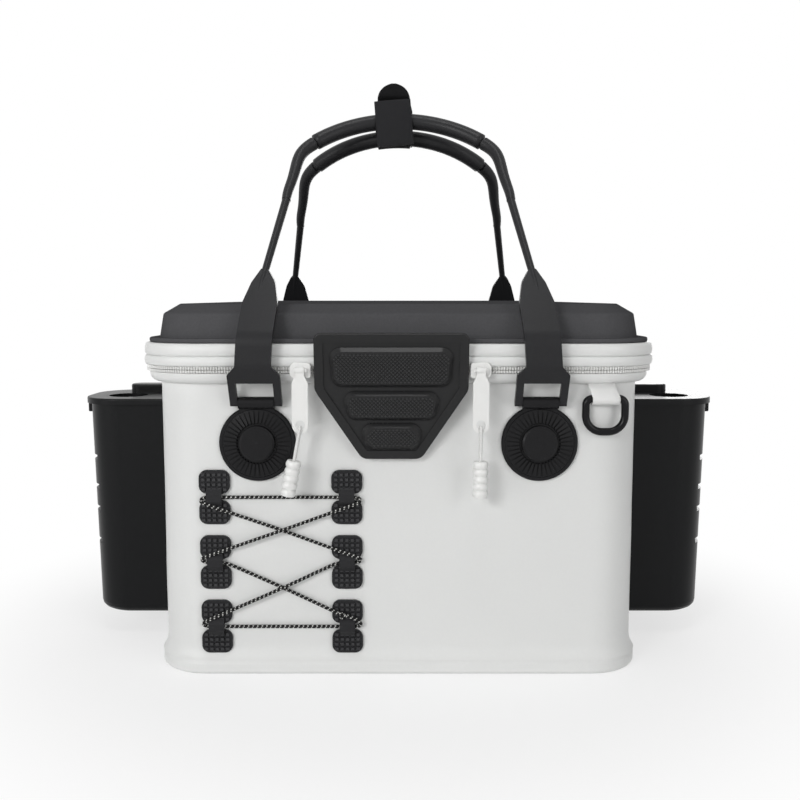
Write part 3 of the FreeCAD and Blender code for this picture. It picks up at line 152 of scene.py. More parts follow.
BACK_FLAT = 0.0660
BACK_AREA = 0.00181
LOOP_HALF = math.radians(7.5)
BACK_WRAP_LINE = (
    (0.0139, 0.4073), (0.0139, 0.420), (0.0139, 0.4305), (0.0110, 0.4344), (-0.0010, 0.4386),
    (-0.0110, 0.4421), (-0.0134, 0.4445), (-0.0134, 0.4490), (-0.0134, 0.4538),
)

# D-ring's webbing, which runs down the wall and up again in (out, height), and the cords
WEB_HALF = 0.0100
WEB_THICK = 0.0006
WEB_BEND_R = 0.0040
WEB_DOWN = ((0.0008, 0.2188), (0.0008, 0.2140))
WEB_UP = ((0.0052, 0.2142), (0.0028, 0.2190))
WEB_LEAN = -0.0030
WEB_LEAN_FOOT = 0.2085
WEB_LEAN_RISE = 0.0105
WEB_ROUND = (0, 0.0008, 0.0055, 0.0100, 0.0145, 0.0192, 0.0200,
             0.0208, 0.0255, 0.0300, 0.0345, 0.0392, 0.0400)
RING_BAR = Vector((0.150, -0.125, 0.208))
PULL_EYE = Vector((0.0, -0.138, 0.1883))
PULL_SWAY = {"left": math.radians(11.0), "right": 0.0}
KNOT = Vector((-0.04175, -0.1253, 0.0465))
KNOT_STEPS = 48
KNOT_SIZE = 0.00068
KNOT_TIGHT = 0.72
YARN_SPECULAR = 0.15
STRANDS = 4.0
STRAND_ON_TOP = 0.62

# View and light: the lamps give their place, aim, size and power
SENSOR = 36
FOCAL_LENGTH = 42.75
EYE = (0.0011, -0.8088, 0.2801)
EYE_TILT = math.radians(83.9)
FLOOR_HALF = 6
LAMPS = (
    ("Key", (-1.05, -1.80, 0.85), (0, 0, 0.2), 0.7, 16.5),
    ("Strip", (-1.7, -1.25, 0.45), (0, 0, 0.2), 0.6, 4.5),
    ("Top", (0.0, -0.40, 1.50), (0, -0.13, 0.2), 0.45, 4),
    ("Fill", (1.5, -1.8, 0.7), (0, 0, 0.15), 1.2, 10),
    ("Back", (0.6, 2.3, 0.35), (0, 0, 0.15), 1.4, 22),
)

# Route of the shock cord through the six tabs, from the knot and back to it
SHOCK_ROUTE = [
    (-0.0425, -0.1250, 0.0468), (-0.0540, -0.1240, 0.0521), (-0.0867, -0.1217, 0.0669),
    (-0.1180, -0.1218, 0.0811), (-0.1284, -0.1220, 0.0856), (-0.1390, -0.1220, 0.0858),
    (-0.1440, -0.1223, 0.0861), (-0.1455, -0.1238, 0.0888), (-0.1425, -0.1243, 0.0905),
    (-0.1280, -0.1244, 0.0957), (-0.1050, -0.1252, 0.1039), (-0.0867, -0.1260, 0.1105),
    (-0.0680, -0.1252, 0.1171), (-0.0450, -0.1244, 0.1253), (-0.0310, -0.1243, 0.1303),
    (-0.0277, -0.1238, 0.1320), (-0.0290, -0.1223, 0.1345), (-0.0345, -0.1220, 0.1348),
    (-0.0560, -0.1219, 0.1348), (-0.1170, -0.1219, 0.1348), (-0.1388, -0.1220, 0.1348),
    (-0.1440, -0.1223, 0.1345), (-0.1455, -0.1238, 0.1320), (-0.1425, -0.1243, 0.1303),
    (-0.1280, -0.1240, 0.1251), (-0.1050, -0.1226, 0.1169), (-0.0867, -0.1217, 0.1103),
    (-0.0680, -0.1226, 0.1036), (-0.0450, -0.1240, 0.0954), (-0.0310, -0.1243, 0.0905),
    (-0.0277, -0.1238, 0.0888), (-0.0290, -0.1223, 0.0861), (-0.0345, -0.1220, 0.0858),
    (-0.0449, -0.1220, 0.0856), (-0.0560, -0.1222, 0.0806), (-0.0867, -0.1260, 0.0669),
    (-0.1180, -0.1246, 0.0528), (-0.1300, -0.1244, 0.0474), (-0.1425, -0.1243, 0.0417),
    (-0.1455, -0.1238, 0.0398), (-0.1440, -0.1223, 0.0371), (-0.1388, -0.1220, 0.0368),
    (-0.1170, -0.1219, 0.0368), (-0.0560, -0.1219, 0.0368), (-0.0345, -0.1220, 0.0368),
    (-0.0290, -0.1223, 0.0371), (-0.0277, -0.1238, 0.0398), (-0.0305, -0.1246, 0.0430),
    (-0.0400, -0.1252, 0.0466),
]
# Loop of a zip pull's cord about the hole of the pull
PULL_LOOP = [
    (0.0, -0.00125, -0.0240), (0.0, -0.00125, -0.0180), (0.0, -0.0025, -0.0050), (0.0, -0.0025, 0.0005),
    (0.0, 0.0025, 0.0005), (0.0, 0.0025, -0.0050), (0.0, 0.00125, -0.0180), (0.0, 0.00125, -0.0240),
]


def tint(name, text, default):
    """Colour property with its name, description and default."""
    return FloatVectorProperty(name=name, description=text, default=default, subtype="COLOR", size=3,
                               min=0, max=1)


def whole(name, text, default):
    """Whole number property."""
    return IntProperty(name=name, description=text, default=default, min=1)


def length(name, text, default):
    """Length property in metres."""
    return FloatProperty(name=name, description=text, default=default, min=0, precision=5, unit="LENGTH",
                         subtype="DISTANCE")


class BucketColours(bpy.types.PropertyGroup):
    """Colours of the bucket's finishes."""

    sheet: tint("Sheet", "Coated white sheet of the wall, collar and band", (0.74, 0.745, 0.735))
    base: tint("Base", "Moulded base tray", (0.74, 0.745, 0.735))
    lid: tint("Lid", "Moulded foam lid", (0.083, 0.083, 0.087))
    rubber: tint("Rubber", "Handles, patches, loops and cord tabs", (0.021, 0.021, 0.0225))
    flap: tint("Flap", "Moulded front flap", (0.0205, 0.0205, 0.0210))
    grip: tint("Grip", "Foam sleeves of the grips", (0.022, 0.022, 0.0235))
    wrap: tint("Wrap", "Coated cloth round the grips", (0.020, 0.020, 0.022))
    holder: tint("Holder", "Rod holders", (0.0075, 0.0078, 0.0084))
    fittings: tint("White fittings", "Zip sliders, pulls and finger grips", (0.80, 0.80, 0.785))
    tape: tint("Zip tape", "Woven tape and teeth of the zip", (0.78, 0.78, 0.765))
    webbing: tint("Webbing", "Loop of the D-ring", (0.82, 0.82, 0.81))
    ring: tint("Ring", "D-ring", (0.006, 0.006, 0.007))
    mouth: tint("Mouth frame", "Mouth frame and backing plates", (0.10, 0.10, 0.10))
    steel: tint("Steel", "Screws, magnet and keeper", (0.62, 0.62, 0.63))
    cord: tint("Cord", "Sheath of the shock cord", (0.010, 0.010, 0.010))
    fleck: tint("Fleck", "White yarn in the shock cord", (0.60, 0.60, 0.58))


class BucketSizes(bpy.types.PropertyGroup):
    """Sizes of the fine details."""

    tooth_pitch: length("Tooth pitch", "Distance between two teeth of the zip", 0.0020)
    tooth_width: length("Tooth width", "Width of a tooth along the zip", 0.0013)
    hatch_pitch: length("Hatch pitch", "Distance between the diagonal lines on the flap's pads", 0.00190)
    hatch_rise: length("Hatch rise", "Height of the hatch on the flap's pads", 0.00060)
    square_columns: whole("Columns", "Raised squares across a cord tab's lobe", 5)
    square_rows: whole("Rows", "Raised squares up a cord tab's lobe", 4)
    sheet_wave: length("Sheet wave", "How far the soft sheet strays from its moulded line", 0.0003)
    band_wave: length("Band wave", "How far the rolls of the lid's band stray", 0.0005)
    cord_radius: length("Cord radius", "Half the thickness of the shock cord", 0.0013)
    pull_cord_radius: length("Pull cord radius", "Half the thickness of the zip pulls' cord", 0.0012)


def colours():
    """The bucket's colours in this scene."""
    return bpy.context.scene.bucket_colours


def sizes():
    """The bucket's fine sizes in this scene."""
    return bpy.context.scene.bucket_sizes


# Node trees

def feed(tree, node, inputs):
    """Set inputs of a node to values, to the first output of a node or to a (node, output) pair."""
    for socket, value in inputs.items():
        pair = value if isinstance(value, tuple) else (value, 0)
        if isinstance(pair[0], bpy.types.Node):
            tree.links.new(pair[0].outputs[pair[1]], node.inputs[socket])
        else:
            node.inputs[socket].default_value = value


def add(tree, kind, inputs=None, **settings):
    """New node with its settings and inputs."""
    node = tree.nodes.new(kind)
    for name, value in settings.items():
        setattr(node, name, value)
    feed(tree, node, inputs or {})
    return node


def maths(tree, operation, *values):
    """Math node of values, nodes or (node, output) pairs."""
    return add(tree, "ShaderNodeMath", dict(enumerate(values)), operation=operation)


def new_tree(name, kind, inputs, outputs):
    """New node tree with sockets by name and kind, and the node of its inputs; every user feeds them all."""
    tree = bpy.data.node_groups.new(name, kind)
    for side, sockets in (("INPUT", inputs), ("OUTPUT", outputs)):
        for label, sort in sockets.items():
            tree.interface.new_socket(label, in_out=side, socket_type="NodeSocket" + sort)
    return tree, tree.nodes.new("NodeGroupInput")


# Shader groups

def uneven_tone():
    """Colour with slow patches and fine specks, and a roughness that wanders with them."""
    if "Uneven tone" in bpy.data.node_groups:
        return bpy.data.node_groups["Uneven tone"]
    group, start = new_tree(
        "Uneven tone", "ShaderNodeTree",
        {"Colour": "Color", "Amount": "Float", "Scale": "Float", "Roughness": "Float"},
        {"Colour": "Color", "Roughness": "Float"})
    at = (add(group, "ShaderNodeTexCoord"), "Object")
    slow = add(group, "ShaderNodeTexNoise", {"Vector": at, "Scale": (start, "Scale"), "Detail": 4})
    tight = maths(group, "MULTIPLY", (start, "Scale"), 45.0)
    fine = add(group, "ShaderNodeTexNoise", {"Vector": at, "Scale": tight, "Detail": 2})
    centred = maths(group, "SUBTRACT", maths(group, "ADD", slow, fine), 1.0)
    gain = maths(group, "ADD", maths(group, "MULTIPLY", centred, (start, "Amount")), 1.0)
    shade = add(group, "ShaderNodeVectorMath", {0: (start, "Colour"), "Scale": gain}, operation="SCALE")
    rough = maths(group, "MULTIPLY", (start, "Roughness"), gain)
    add(group, "NodeGroupOutput", {"Colour": shade, "Roughness": rough})
    return group


def moulded_grain():
    """Height of a fine pebbled grain on moulded rubber, foam and plastic."""
    if "Moulded grain" in bpy.data.node_groups:
        return bpy.data.node_groups["Moulded grain"]
    group, start = new_tree(
        "Moulded grain", "ShaderNodeTree", {"Scale": "Float", "Pebble": "Float"}, {"Height": "Float"})
    at = (add(group, "ShaderNodeTexCoord"), "Object")
    cells = add(group, "ShaderNodeTexVoronoi", {"Vector": at, "Scale": (start, "Scale")}, feature="SMOOTH_F1")
    wide = maths(group, "MULTIPLY", (start, "Scale"), 0.6)
    dust = add(group, "ShaderNodeTexNoise", {"Vector": at, "Scale": wide, "Detail": 3})
    pebble = maths(group, "MULTIPLY", (cells, "Distance"), (start, "Pebble"))
    add(group, "NodeGroupOutput", {"Height": maths(group, "ADD", pebble, dust)})
    return group


def plain_weave():
    """Height and mask of a plain weave over a piece's own UV map, counted in threads per unit."""
    if "Plain weave" in bpy.data.node_groups:
        return bpy.data.node_groups["Plain weave"]
    group, start = new_tree(
        "Plain weave", "ShaderNodeTree", {"Across": "Float", "Along": "Float"},
        {"Height": "Float", "Mask": "Float"})
    parts = add(group, "ShaderNodeSeparateXYZ", {0: (add(group, "ShaderNodeTexCoord"), "UV")})
    waves = []
    for axis, threads in (("X", "Across"), ("Y", "Along")):
        thread = maths(group, "MULTIPLY", (parts, axis), (start, threads))
        waves.append(maths(group, "SINE", maths(group, "MULTIPLY", thread, math.pi)))
    half = maths(group, "MULTIPLY_ADD", maths(group, "MULTIPLY", *waves), 0.5, 0.5)
    height = maths(group, "ADD", half, maths(group, "ABSOLUTE", waves[1]))
    add(group, "NodeGroupOutput", {"Height": height, "Mask": half})
    return group


# Materials

def new_material(name):
    """New material's tree and its shader."""
    mat = bpy.data.materials.new(name)
    mat.use_nodes = True
    return mat.node_tree, mat.node_tree.nodes["Principled BSDF"]


def tint_share(colour, share):
    """One of the bucket's colours, made darker or lighter by a share, with its alpha."""
    return (*(share * v for v in getattr(colours(), colour)), 1)


def toned(tree, colour, amount, scale, roughness):
    """Node of the uneven tone."""
    return add(tree, "ShaderNodeGroup", {"Colour": colour, "Amount": amount, "Scale": scale,
                                         "Roughness": roughness}, node_tree=uneven_tone())


def bumped(tree, height, depth, strength):
    """Bump node of a height."""
    return add(tree, "ShaderNodeBump", {"Height": height, "Distance": depth, "Strength": strength})


def mixed(tree, share, first, second):
    """Colour output of a mix of two colours."""
    return add(tree, "ShaderNodeMix", {0: share, 6: first, 7: second}, data_type="RGBA"), 2


def moulded(name, colour, roughness, tone=0.12, tone_scale=10.0, grain=900.0, pebble=0.5, depth=0.00006,
            specular=0.5, metallic=0.0):
    """Material of a moulded or coated surface: uneven tone over a fine grain."""
    tree, shader = new_material(name)
    tone_node = toned(tree, colour, tone, tone_scale, roughness)
    pebbles = add(tree, "ShaderNodeGroup", {"Scale": grain, "Pebble": pebble}, node_tree=moulded_grain())
    feed(tree, shader, {
        "Base Color": (tone_node, "Colour"), "Roughness": (tone_node, "Roughness"),
        "Specular IOR Level": specular, "Metallic": metallic, "Normal": bumped(tree, pebbles, depth, 0.7)})


def woven(name, colour, roughness, across, along, depth=0.00012, shade=0.25, sheen=0.15):
    """Material of woven tape, webbing or coated cloth on a piece with a UV map in metres."""
    tree, shader = new_material(name)
    weave = add(tree, "ShaderNodeGroup", {"Across": across, "Along": along}, node_tree=plain_weave())
    tone_node = toned(tree, colour, 0.12, 30.0, roughness)
    # Painted shade: the low crossings of the weave are darkened by the share shade
    dark = (*(v * (1 - shade) for v in colour[:3]), 1)
    low = maths(tree, "SUBTRACT", 1.0, (weave, "Mask"))
    feed(tree, shader, {
        "Base Color": mixed(tree, low, (tone_node, "Colour"), dark), "Roughness": (tone_node, "Roughness"),
        "Specular IOR Level": YARN_SPECULAR, "Sheen Weight": sheen, "Sheen Roughness": 0.5,
        "Normal": bumped(tree, (weave, "Height"), depth, 0.8)})


def braided(name, colour, yarn, yarn_share, pitch, share):
    """Material of a braided cord: a sheath with flecks of another yarn, on UV in turns and metres."""
    tree, shader = new_material(name)
    parts = add(tree, "ShaderNodeSeparateXYZ", {0: (add(tree, "ShaderNodeTexCoord"), "UV")})
    along = maths(tree, "DIVIDE", (parts, "Y"), pitch)
    helix = maths(tree, "FRACT", maths(tree, "ADD", along, (parts, "X")))
    cross = maths(tree, "SUBTRACT", maths(tree, "MULTIPLY", (parts, "X"), STRANDS), along)
    on_top = maths(tree, "LESS_THAN", maths(tree, "FRACT", cross), STRAND_ON_TOP)
    fleck = maths(tree, "MULTIPLY", maths(tree, "LESS_THAN", helix, share), on_top)
    other = maths(tree, "MULTIPLY_ADD", (parts, "X"), STRANDS, along)
    over, under = [maths(tree, "SINE", maths(tree, "MULTIPLY", way, 2 * math.pi)) for way in (other, cross)]
    feed(tree, shader, {
        "Base Color": mixed(tree, fleck, colour, tint_share(yarn, yarn_share)), "Roughness": 0.7,
        "Specular IOR Level": YARN_SPECULAR,
        "Normal": bumped(tree, maths(tree, "MULTIPLY", over, under), 0.0002, 0.6)})


# Each finish: how it is made, its colour, the share of that colour and its own values
FINISHES = {
    "white_sheet": (moulded, "sheet", 1.0, dict(
        roughness=0.42, tone=0.03, grain=1100, pebble=0.35, depth=0.00005, specular=0.4)),
    "white_base": (moulded, "base", 1.0, dict(roughness=0.45, tone=0.035, specular=0.4)),
    "black_lid": (moulded, "lid", 1.0, dict(
        roughness=0.48, tone=0.20, tone_scale=14, grain=800, pebble=0.8, depth=0.00010, specular=0.0)),
    "black_rubber": (moulded, "rubber", 1.0, dict(
        roughness=0.38, tone=0.16, grain=1200, depth=0.00004, specular=0.14)),
    "flap_rubber": (moulded, "flap", 1.0, dict(
        roughness=0.26, tone=0.16, grain=1200, pebble=0.4, depth=0.00003, specular=0.16)),
    # Patches and anchor loops: the rubber at 0.6 of its colour, painted shade that stands in for the dark
    # grooves between their ribs
    "patch_rubber": (moulded, "rubber", 0.6, dict(
        roughness=0.24, tone=0.16, grain=1200, pebble=0.6, depth=0.00004, specular=0.12)),
    # Hatch on the flap's pads: the flap rubber at 1.35 of its colour, a painted highlight on the hatch lines
    "pad_rubber": (moulded, "flap", 1.35, dict(
        roughness=0.34, tone=0.16, grain=1200, pebble=0.4, depth=0.00003, specular=0.35)),
    # Raised squares on the cord tabs: the rubber at 1.6 of its colour, a painted highlight on the squares
    "tab_rubber": (moulded, "rubber", 1.6, dict(
        roughness=0.34, tone=0.2, grain=1200, pebble=0.4, depth=0.00003, specular=0.3)),
    "grip_foam": (moulded, "grip", 1.0, dict(
        roughness=0.34, tone=0.18, grain=1600, pebble=0.9, depth=0.00005, specular=0.14)),
    "holder_plastic": (moulded, "holder", 1.0, dict(
        roughness=0.32, tone=0.14, grain=1500, pebble=0.6, depth=0.00003, specular=0.12)),
    "frame_plastic": (moulded, "mouth", 1.0, dict(roughness=0.5, grain=1000)),
    "white_plastic": (moulded, "fittings", 1.0, dict(
        roughness=0.28, tone=0.03, grain=700, pebble=0.2, depth=0.00002)),
    "ring_plastic": (moulded, "ring", 1.0, dict(
        roughness=0.14, tone=0.10, grain=500, pebble=0.2, depth=0.00002, specular=0.15)),
    "steel": (moulded, "steel", 1.0, dict(
        roughness=0.34, tone=0.08, grain=1400, pebble=0.2, depth=0.00002, metallic=1.0)),
    "zip_teeth": (moulded, "tape", 1.0, dict(
        roughness=0.38, tone=0.03, grain=1500, pebble=0.3, depth=0.00002)),
    "wrap_cloth": (woven, "wrap", 1.0, dict(
        roughness=0.75, across=1400, along=1400, depth=0.00008, shade=0.2, sheen=0.03)),
    # Back wrap panel and its round tab: the wrap cloth at 0.3 of its colour
    "wrap_lining": (woven, "wrap", 0.3, dict(
        roughness=0.8, across=1400, along=1400, depth=0.00008, shade=0.2, sheen=0.0)),
    "white_zip": (woven, "tape", 1.0, dict(roughness=0.7, across=1300, along=1800, shade=0.12)),
    "white_web": (woven, "webbing", 1.0, dict(
        roughness=0.6, across=1500, along=2200, depth=0.00006, shade=0.06)),
    "shock_cord": (braided, "cord", 1.0, dict(yarn="fleck", yarn_share=1.0, pitch=0.0034, share=0.30)),
    "white_cord": (braided, "fittings", 1.0, dict(yarn="fittings", yarn_share=0.92, pitch=0.0018, share=0.4)),
}


def finish(slot):
    """Material of a finish, made once."""
    name = slot + "_finish"
    if name not in bpy.data.materials:
        maker, colour, share, values = FINISHES[slot]
        maker(name, tint_share(colour, share), **values)
    return bpy.data.materials[name]


# Meshes

def piece(name, mesh, material):
    """New object at the origin with one material."""
    obj = bpy.data.objects.new(name, mesh)
    bpy.context.scene.collection.objects.link(obj)
    mesh.materials.clear()
    mesh.materials.append(material)
    return obj


def set_piece(obj, body, slot, *replaced):
    """Ride on a body and stand for the CAD nodes that it replaces; the slot is not used."""
    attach(obj, body)
    if replaced:
        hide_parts(*replaced)
    return obj


def dressed(name, mesh, body, slot, *replaced, look=None):
    """New piece with its slot's finish or another look, set in place of CAD nodes."""
    return set_piece(piece(name, mesh, finish(look or slot)), body, slot, *replaced)


def skin(name, rows, around=True, along=False, caps=False, across=None, down=None):
    """Mesh of quads over rows of points; around closes each row, along joins the last row to the first."""
    count = len(rows[0])
    points = [p for row in rows for p in row]
    row_steps = len(rows) if along else len(rows) - 1
    col_steps = count if around else count - 1
    across = across or [j / col_steps for j in range(col_steps + 1)]
    down = down or [i / row_steps for i in range(row_steps + 1)]
    faces = []
    uvs = []
    for i in range(row_steps):
        low = i * count
        high = ((i + 1) % len(rows)) * count
        for j in range(col_steps):
            k = (j + 1) % count
            faces.append((low + j, low + k, high + k, high + j))
            uvs += [(across[j], down[i]), (across[j + 1], down[i]), (across[j + 1], down[i + 1]),
                    (across[j], down[i + 1])]
    if caps:
        faces.append(tuple(reversed(range(count))))
        faces.append(tuple(len(points) - count + j for j in range(count)))
        uvs += [(across[j], down[0]) for j in reversed(range(count))]
        uvs += [(across[j], down[-1]) for j in range(count)]
    mesh = bpy.data.meshes.new(name)
    mesh.from_pydata(points, [], faces)
    layer = mesh.uv_layers.new(name="UVMap")
    layer.data.foreach_set("uv", [x for uv in uvs for x in uv])
    shell = bmesh.new()
    shell.from_mesh(mesh)
    bmesh.ops.recalc_face_normals(shell, faces=shell.faces)
    shell.to_mesh(mesh)
    shell.free()
    mesh.shade_smooth()
    return mesh


def sharp_at(mesh, degrees):
    """Keep the edges sharper than an angle crisp under smooth shading."""
    mesh.set_sharp_from_angle(angle=math.radians(degrees))
    return mesh


def runs(points):
    """Distance run at each point of a line."""
    total = [0.0]
    for a, b in zip(points, points[1:]):
        total.append(total[-1] + (b - a).length)
    return total


def tube(name, line, radius, sides, ends=None):
    """Round tube along a line of points, with its UV in turns and metres; ends rounds its two ends."""
    reach = runs(line)
    forward = [(b - a).normalized() for a, b in zip(line, line[1:])]
    forward.append(forward[-1])
    side = forward[0].orthogonal().normalized()
    rows = []
    for i, at in enumerate(line):
        tangent = forward[i] if i == 0 else (forward[i - 1] + forward[i]).normalized()
        side = (side - tangent * side.dot(tangent)).normalized()
        up = tangent.cross(side)
        r = radius
        if ends:
            gap = min(reach[i], reach[-1] - reach[i])
            bow = math.sqrt(1 - max(0.0, 1 - gap / ends) ** 2)
            r = radius * max(bow, BLUNT_END)
        rows.append([at + (side * math.cos(a) + up * math.sin(a)) * r
                     for a in (2 * math.pi * j / sides for j in range(sides))])
    return skin(name, rows, caps=True, down=reach)


def smooth_line(name, points):
    """Points along the smooth curve that has the given points as its control points."""
    curve = bpy.data.curves.new(name, "CURVE")
    curve.dimensions = "3D"
    curve.resolution_u = 10
    spline = curve.splines.new("NURBS")
    spline.points.add(len(points) - 1)
    for control, place in zip(spline.points, points):
        control.co = (*place, 1)
    spline.order_u = 3
    spline.use_endpoint_u = True
    holder = bpy.data.objects.new(name, curve)
    bpy.context.scene.collection.objects.link(holder)
    bpy.context.view_layer.update()
    mesh = bpy.data.meshes.new_from_object(holder)
    line = [v.co.copy() for v in mesh.vertices]
    bpy.data.meshes.remove(mesh)
    bpy.data.objects.remove(holder)
    bpy.data.curves.remove(curve)
    return line


def wall_stations(step):
    """Stations once round the wall from the middle of the back: point, outward direction and distance run."""
    corners = ((-1, 1, 90), (-1, -1, 180), (1, -1, 270), (1, 1, 0))
    stations = []
    last = Vector((0, HALF_Y))
    run = 0.0

    def straight_to(target, normal):
        nonlocal last, run
        leg = target - last
        count = max(1, round(leg.length / step))
        for i in range(count):
            stations.append((last + leg * (i / count), normal, run + leg.length * i / count))
        run += leg.length
        last = target

    for sx, sy, angle in corners:
        centre = Vector((sx * (HALF_X - CORNER_R), sy * (HALF_Y - CORNER_R)))
        first = math.radians(angle)
        normal = Vector((math.cos(first), math.sin(first)))
        straight_to(centre + normal * CORNER_R, normal)
        count = 16
        for i in range(count):
            a = first + math.pi / 2 * i / count
            n = Vector((math.cos(a), math.sin(a)))
            stations.append((centre + n * CORNER_R, n, run + CORNER_R * math.pi / 2 * i / count))
        run += CORNER_R * math.pi / 2
        end = first + math.pi / 2
        last = centre + Vector((math.cos(end), math.sin(end))) * CORNER_R
    straight_to(Vector((0, HALF_Y)), Vector((0, 1)))
    return stations, run


def outward(at, normal, out, z):
    """Point at a height, a distance out from a station of the wall."""
    return Vector((at.x + normal.x * out, at.y + normal.y * out, z))


def plain_mesh(obj):
    """Mesh of an object with its modifiers applied."""
    bpy.context.view_layer.update()
    graph = bpy.context.evaluated_depsgraph_get()
    return bpy.data.meshes.new_from_object(obj.evaluated_get(graph), preserve_all_data_layers=True,
                                           depsgraph=graph)


def wander(t, phase):
    """Slow closed wave between about -1 and 1 for a share t of the way round."""
    return sum(math.sin(2 * math.pi * k * t + phase * k + k * k) / n
               for k, n in ((3, 2.6), (5, 3.2), (8, 4.5), (13, 6.0)))


def round_the_wall(name, section, step=0.006):
    """Carry a section once round the wall; it gives closed (out, height) points for a share of the way."""
    stations, total = wall_stations(step)
    rows = []
    for at, normal, run in stations:
        rows.append([outward(at, normal, out, z) for out, z in section(run / total)])
    first = [Vector(p) for p in section(0.0)]
    girth = runs(first + first[:1])
    return skin(name, rows, along=True, across=girth, down=[s[2] for s in stations] + [total])


def rounded(points, radii, steps=5):
    """Closed outline in a plane with its corners rounded."""
    outline = []
    count = len(points)
    for i, (at, radius) in enumerate(zip(points, radii)):
        back = (points[i - 1] - at).normalized()
        on = (points[(i + 1) % count] - at).normalized()
        half = back.angle(on) / 2
        reach = radius / math.tan(half)
        centre = at + (back + on).normalized() * (radius / math.sin(half))
        first = at + back * reach - centre
        last = at + on * reach - centre
        begin = math.atan2(first.y, first.x)
        turn = math.atan2(last.y, last.x) - begin
        turn = (turn + math.pi) % (2 * math.pi) - math.pi
        for k in range(steps + 1):
            a = begin + turn * k / steps
            outline.append(centre + Vector((math.cos(a), math.sin(a))) * radius)
    return outline


# Geometry node trees

def geometry_tree(name, **inputs):
    """New geometry tree with its named inputs, geometry first and the material last."""
    ends = {"Geometry": "Geometry"}
    return new_tree(name, "GeometryNodeTree", {**ends, **inputs, "Material": "Material"}, ends)


def end_tree(tree, start, source):
    """Close a tree: realize what was placed, shade it flat and give it its material."""
    real = add(tree, "GeometryNodeRealizeInstances", {"Geometry": source})
    flat = add(tree, "GeometryNodeSetShadeSmooth", {"Geometry": real, "Shade Smooth": False})
    paint = add(tree, "GeometryNodeSetMaterial", {"Geometry": flat, "Material": (start, "Material")})
    add(tree, "NodeGroupOutput", {"Geometry": paint})
    return tree


def grown(name, tree, base, values):
    """Plain mesh object from a tree over a base mesh, with the tree's inputs set by their identifiers."""
    obj = bpy.data.objects.new(name, base)
    modifier = obj.modifiers.new("Grow", "NODES")
    modifier.node_group = tree
    for item in tree.interface.items_tree:
        if item.item_type == "SOCKET" and item.in_out == "INPUT" and item.name in values:
            modifier[item.identifier] = values[item.name]
    bpy.context.scene.collection.objects.link(obj)
    mesh = plain_mesh(obj)
    obj.modifiers.clear()
    obj.data = mesh
    mesh.name = name
    bpy.data.meshes.remove(base)
    if not mesh.polygons:
        raise RuntimeError(name + " came out empty")
    return obj


def zip_tree():
    """Teeth at an even pitch along the zip's line."""
    tree, start = geometry_tree("Zip teeth", Pitch="Float", Width="Float", Depth="Float", Height="Float")
    line = add(tree, "GeometryNodeMeshToCurve", {"Mesh": (start, "Geometry")})
    even = add(tree, "GeometryNodeResampleCurve", {"Curve": line, "Length": (start, "Pitch")}, mode="LENGTH")
    tooth = add(tree, "GeometryNodeMeshCylinder", {"Vertices": 10, "Radius": 0.5, "Depth": 1.0})
    turn = add(tree, "FunctionNodeAlignRotationToVector", {"Vector": add(tree, "GeometryNodeInputTangent")},
               axis="X", pivot_axis="Z")
    size = add(tree, "ShaderNodeCombineXYZ", {
        "X": (start, "Width"), "Y": (start, "Depth"), "Z": (start, "Height")})
    return end_tree(tree, start, add(tree, "GeometryNodeInstanceOnPoints", {
        "Points": even, "Instance": tooth, "Rotation": turn, "Scale": size}))


def hatch_tree():
    """Diagonal hatch of small diamonds inside flat outlines, then set on the tilted flap."""
    tree, start = geometry_tree("Pad hatch", Pitch="Float", Rise="Float", Reach="Float",
                                Rotation="Rotation", Place="Vector")
    count = maths(tree, "DIVIDE", (start, "Reach"), (start, "Pitch"))
    grid = add(tree, "GeometryNodeMeshGrid", {
        "Size X": (start, "Reach"), "Size Y": (start, "Reach"), "Vertices X": count, "Vertices Y": count})
    slant = add(tree, "GeometryNodeTransform", {
        "Geometry": grid, "Translation": (0, HATCH_MIDDLE, 0), "Rotation": (0, 0, math.radians(45))})
    near = add(tree, "GeometryNodeProximity", {0: (start, "Geometry")}, target_element="FACES")
    outside = maths(tree, "GREATER_THAN", (near, "Distance"), 0.00001)
    kept = add(tree, "GeometryNodeDeleteGeometry", {"Geometry": slant, "Selection": outside}, domain="POINT")
    stud = add(tree, "GeometryNodeMeshCone", {
        "Vertices": 4, "Radius Bottom": maths(tree, "MULTIPLY", (start, "Pitch"), 0.64),
        "Radius Top": maths(tree, "MULTIPLY", (start, "Pitch"), 0.40), "Depth": (start, "Rise")})
    spread = add(tree, "GeometryNodeInstanceOnPoints", {"Points": kept, "Instance": stud})
    return end_tree(tree, start, add(tree, "GeometryNodeTransform", {
        "Geometry": spread, "Translation": (start, "Place"), "Rotation": (start, "Rotation")}))


def lobe_tree():
    """Rows and columns of raised squares on each lobe of the cord tabs."""
    tree, start = geometry_tree("Lobe squares", Columns="Int", Rows="Int", Width="Float", Height="Float",
                                Square="Vector")
    grid = add(tree, "GeometryNodeMeshGrid", {
        "Size X": (start, "Width"), "Size Y": (start, "Height"), "Vertices X": (start, "Columns"),
        "Vertices Y": (start, "Rows")})
    cell = add(tree, "GeometryNodeMeshCone", {
        "Vertices": 4, "Radius Bottom": 0.7071, "Radius Top": 0.53, "Depth": 1.0})
    square = add(tree, "GeometryNodeTransform", {"Geometry": cell, "Rotation": (0, 0, math.radians(45))})
    sized = add(tree, "GeometryNodeTransform", {"Geometry": square, "Scale": (start, "Square")})
    array = add(tree, "GeometryNodeInstanceOnPoints", {"Points": grid, "Instance": sized})
    upright = add(tree, "GeometryNodeTransform", {"Geometry": array, "Rotation": (math.radians(90), 0, 0)})
    together = add(tree, "GeometryNodeRealizeInstances", {"Geometry": upright})
    return end_tree(tree, start, add(tree, "GeometryNodeInstanceOnPoints", {
        "Points": (start, "Geometry"), "Instance": together}))


def points_mesh(name, points, edges=()):
    """Mesh of loose points, or of lines through them."""
    mesh = bpy.data.meshes.new(name)
    mesh.from_pydata(points, edges, [])
    return mesh


# Operators

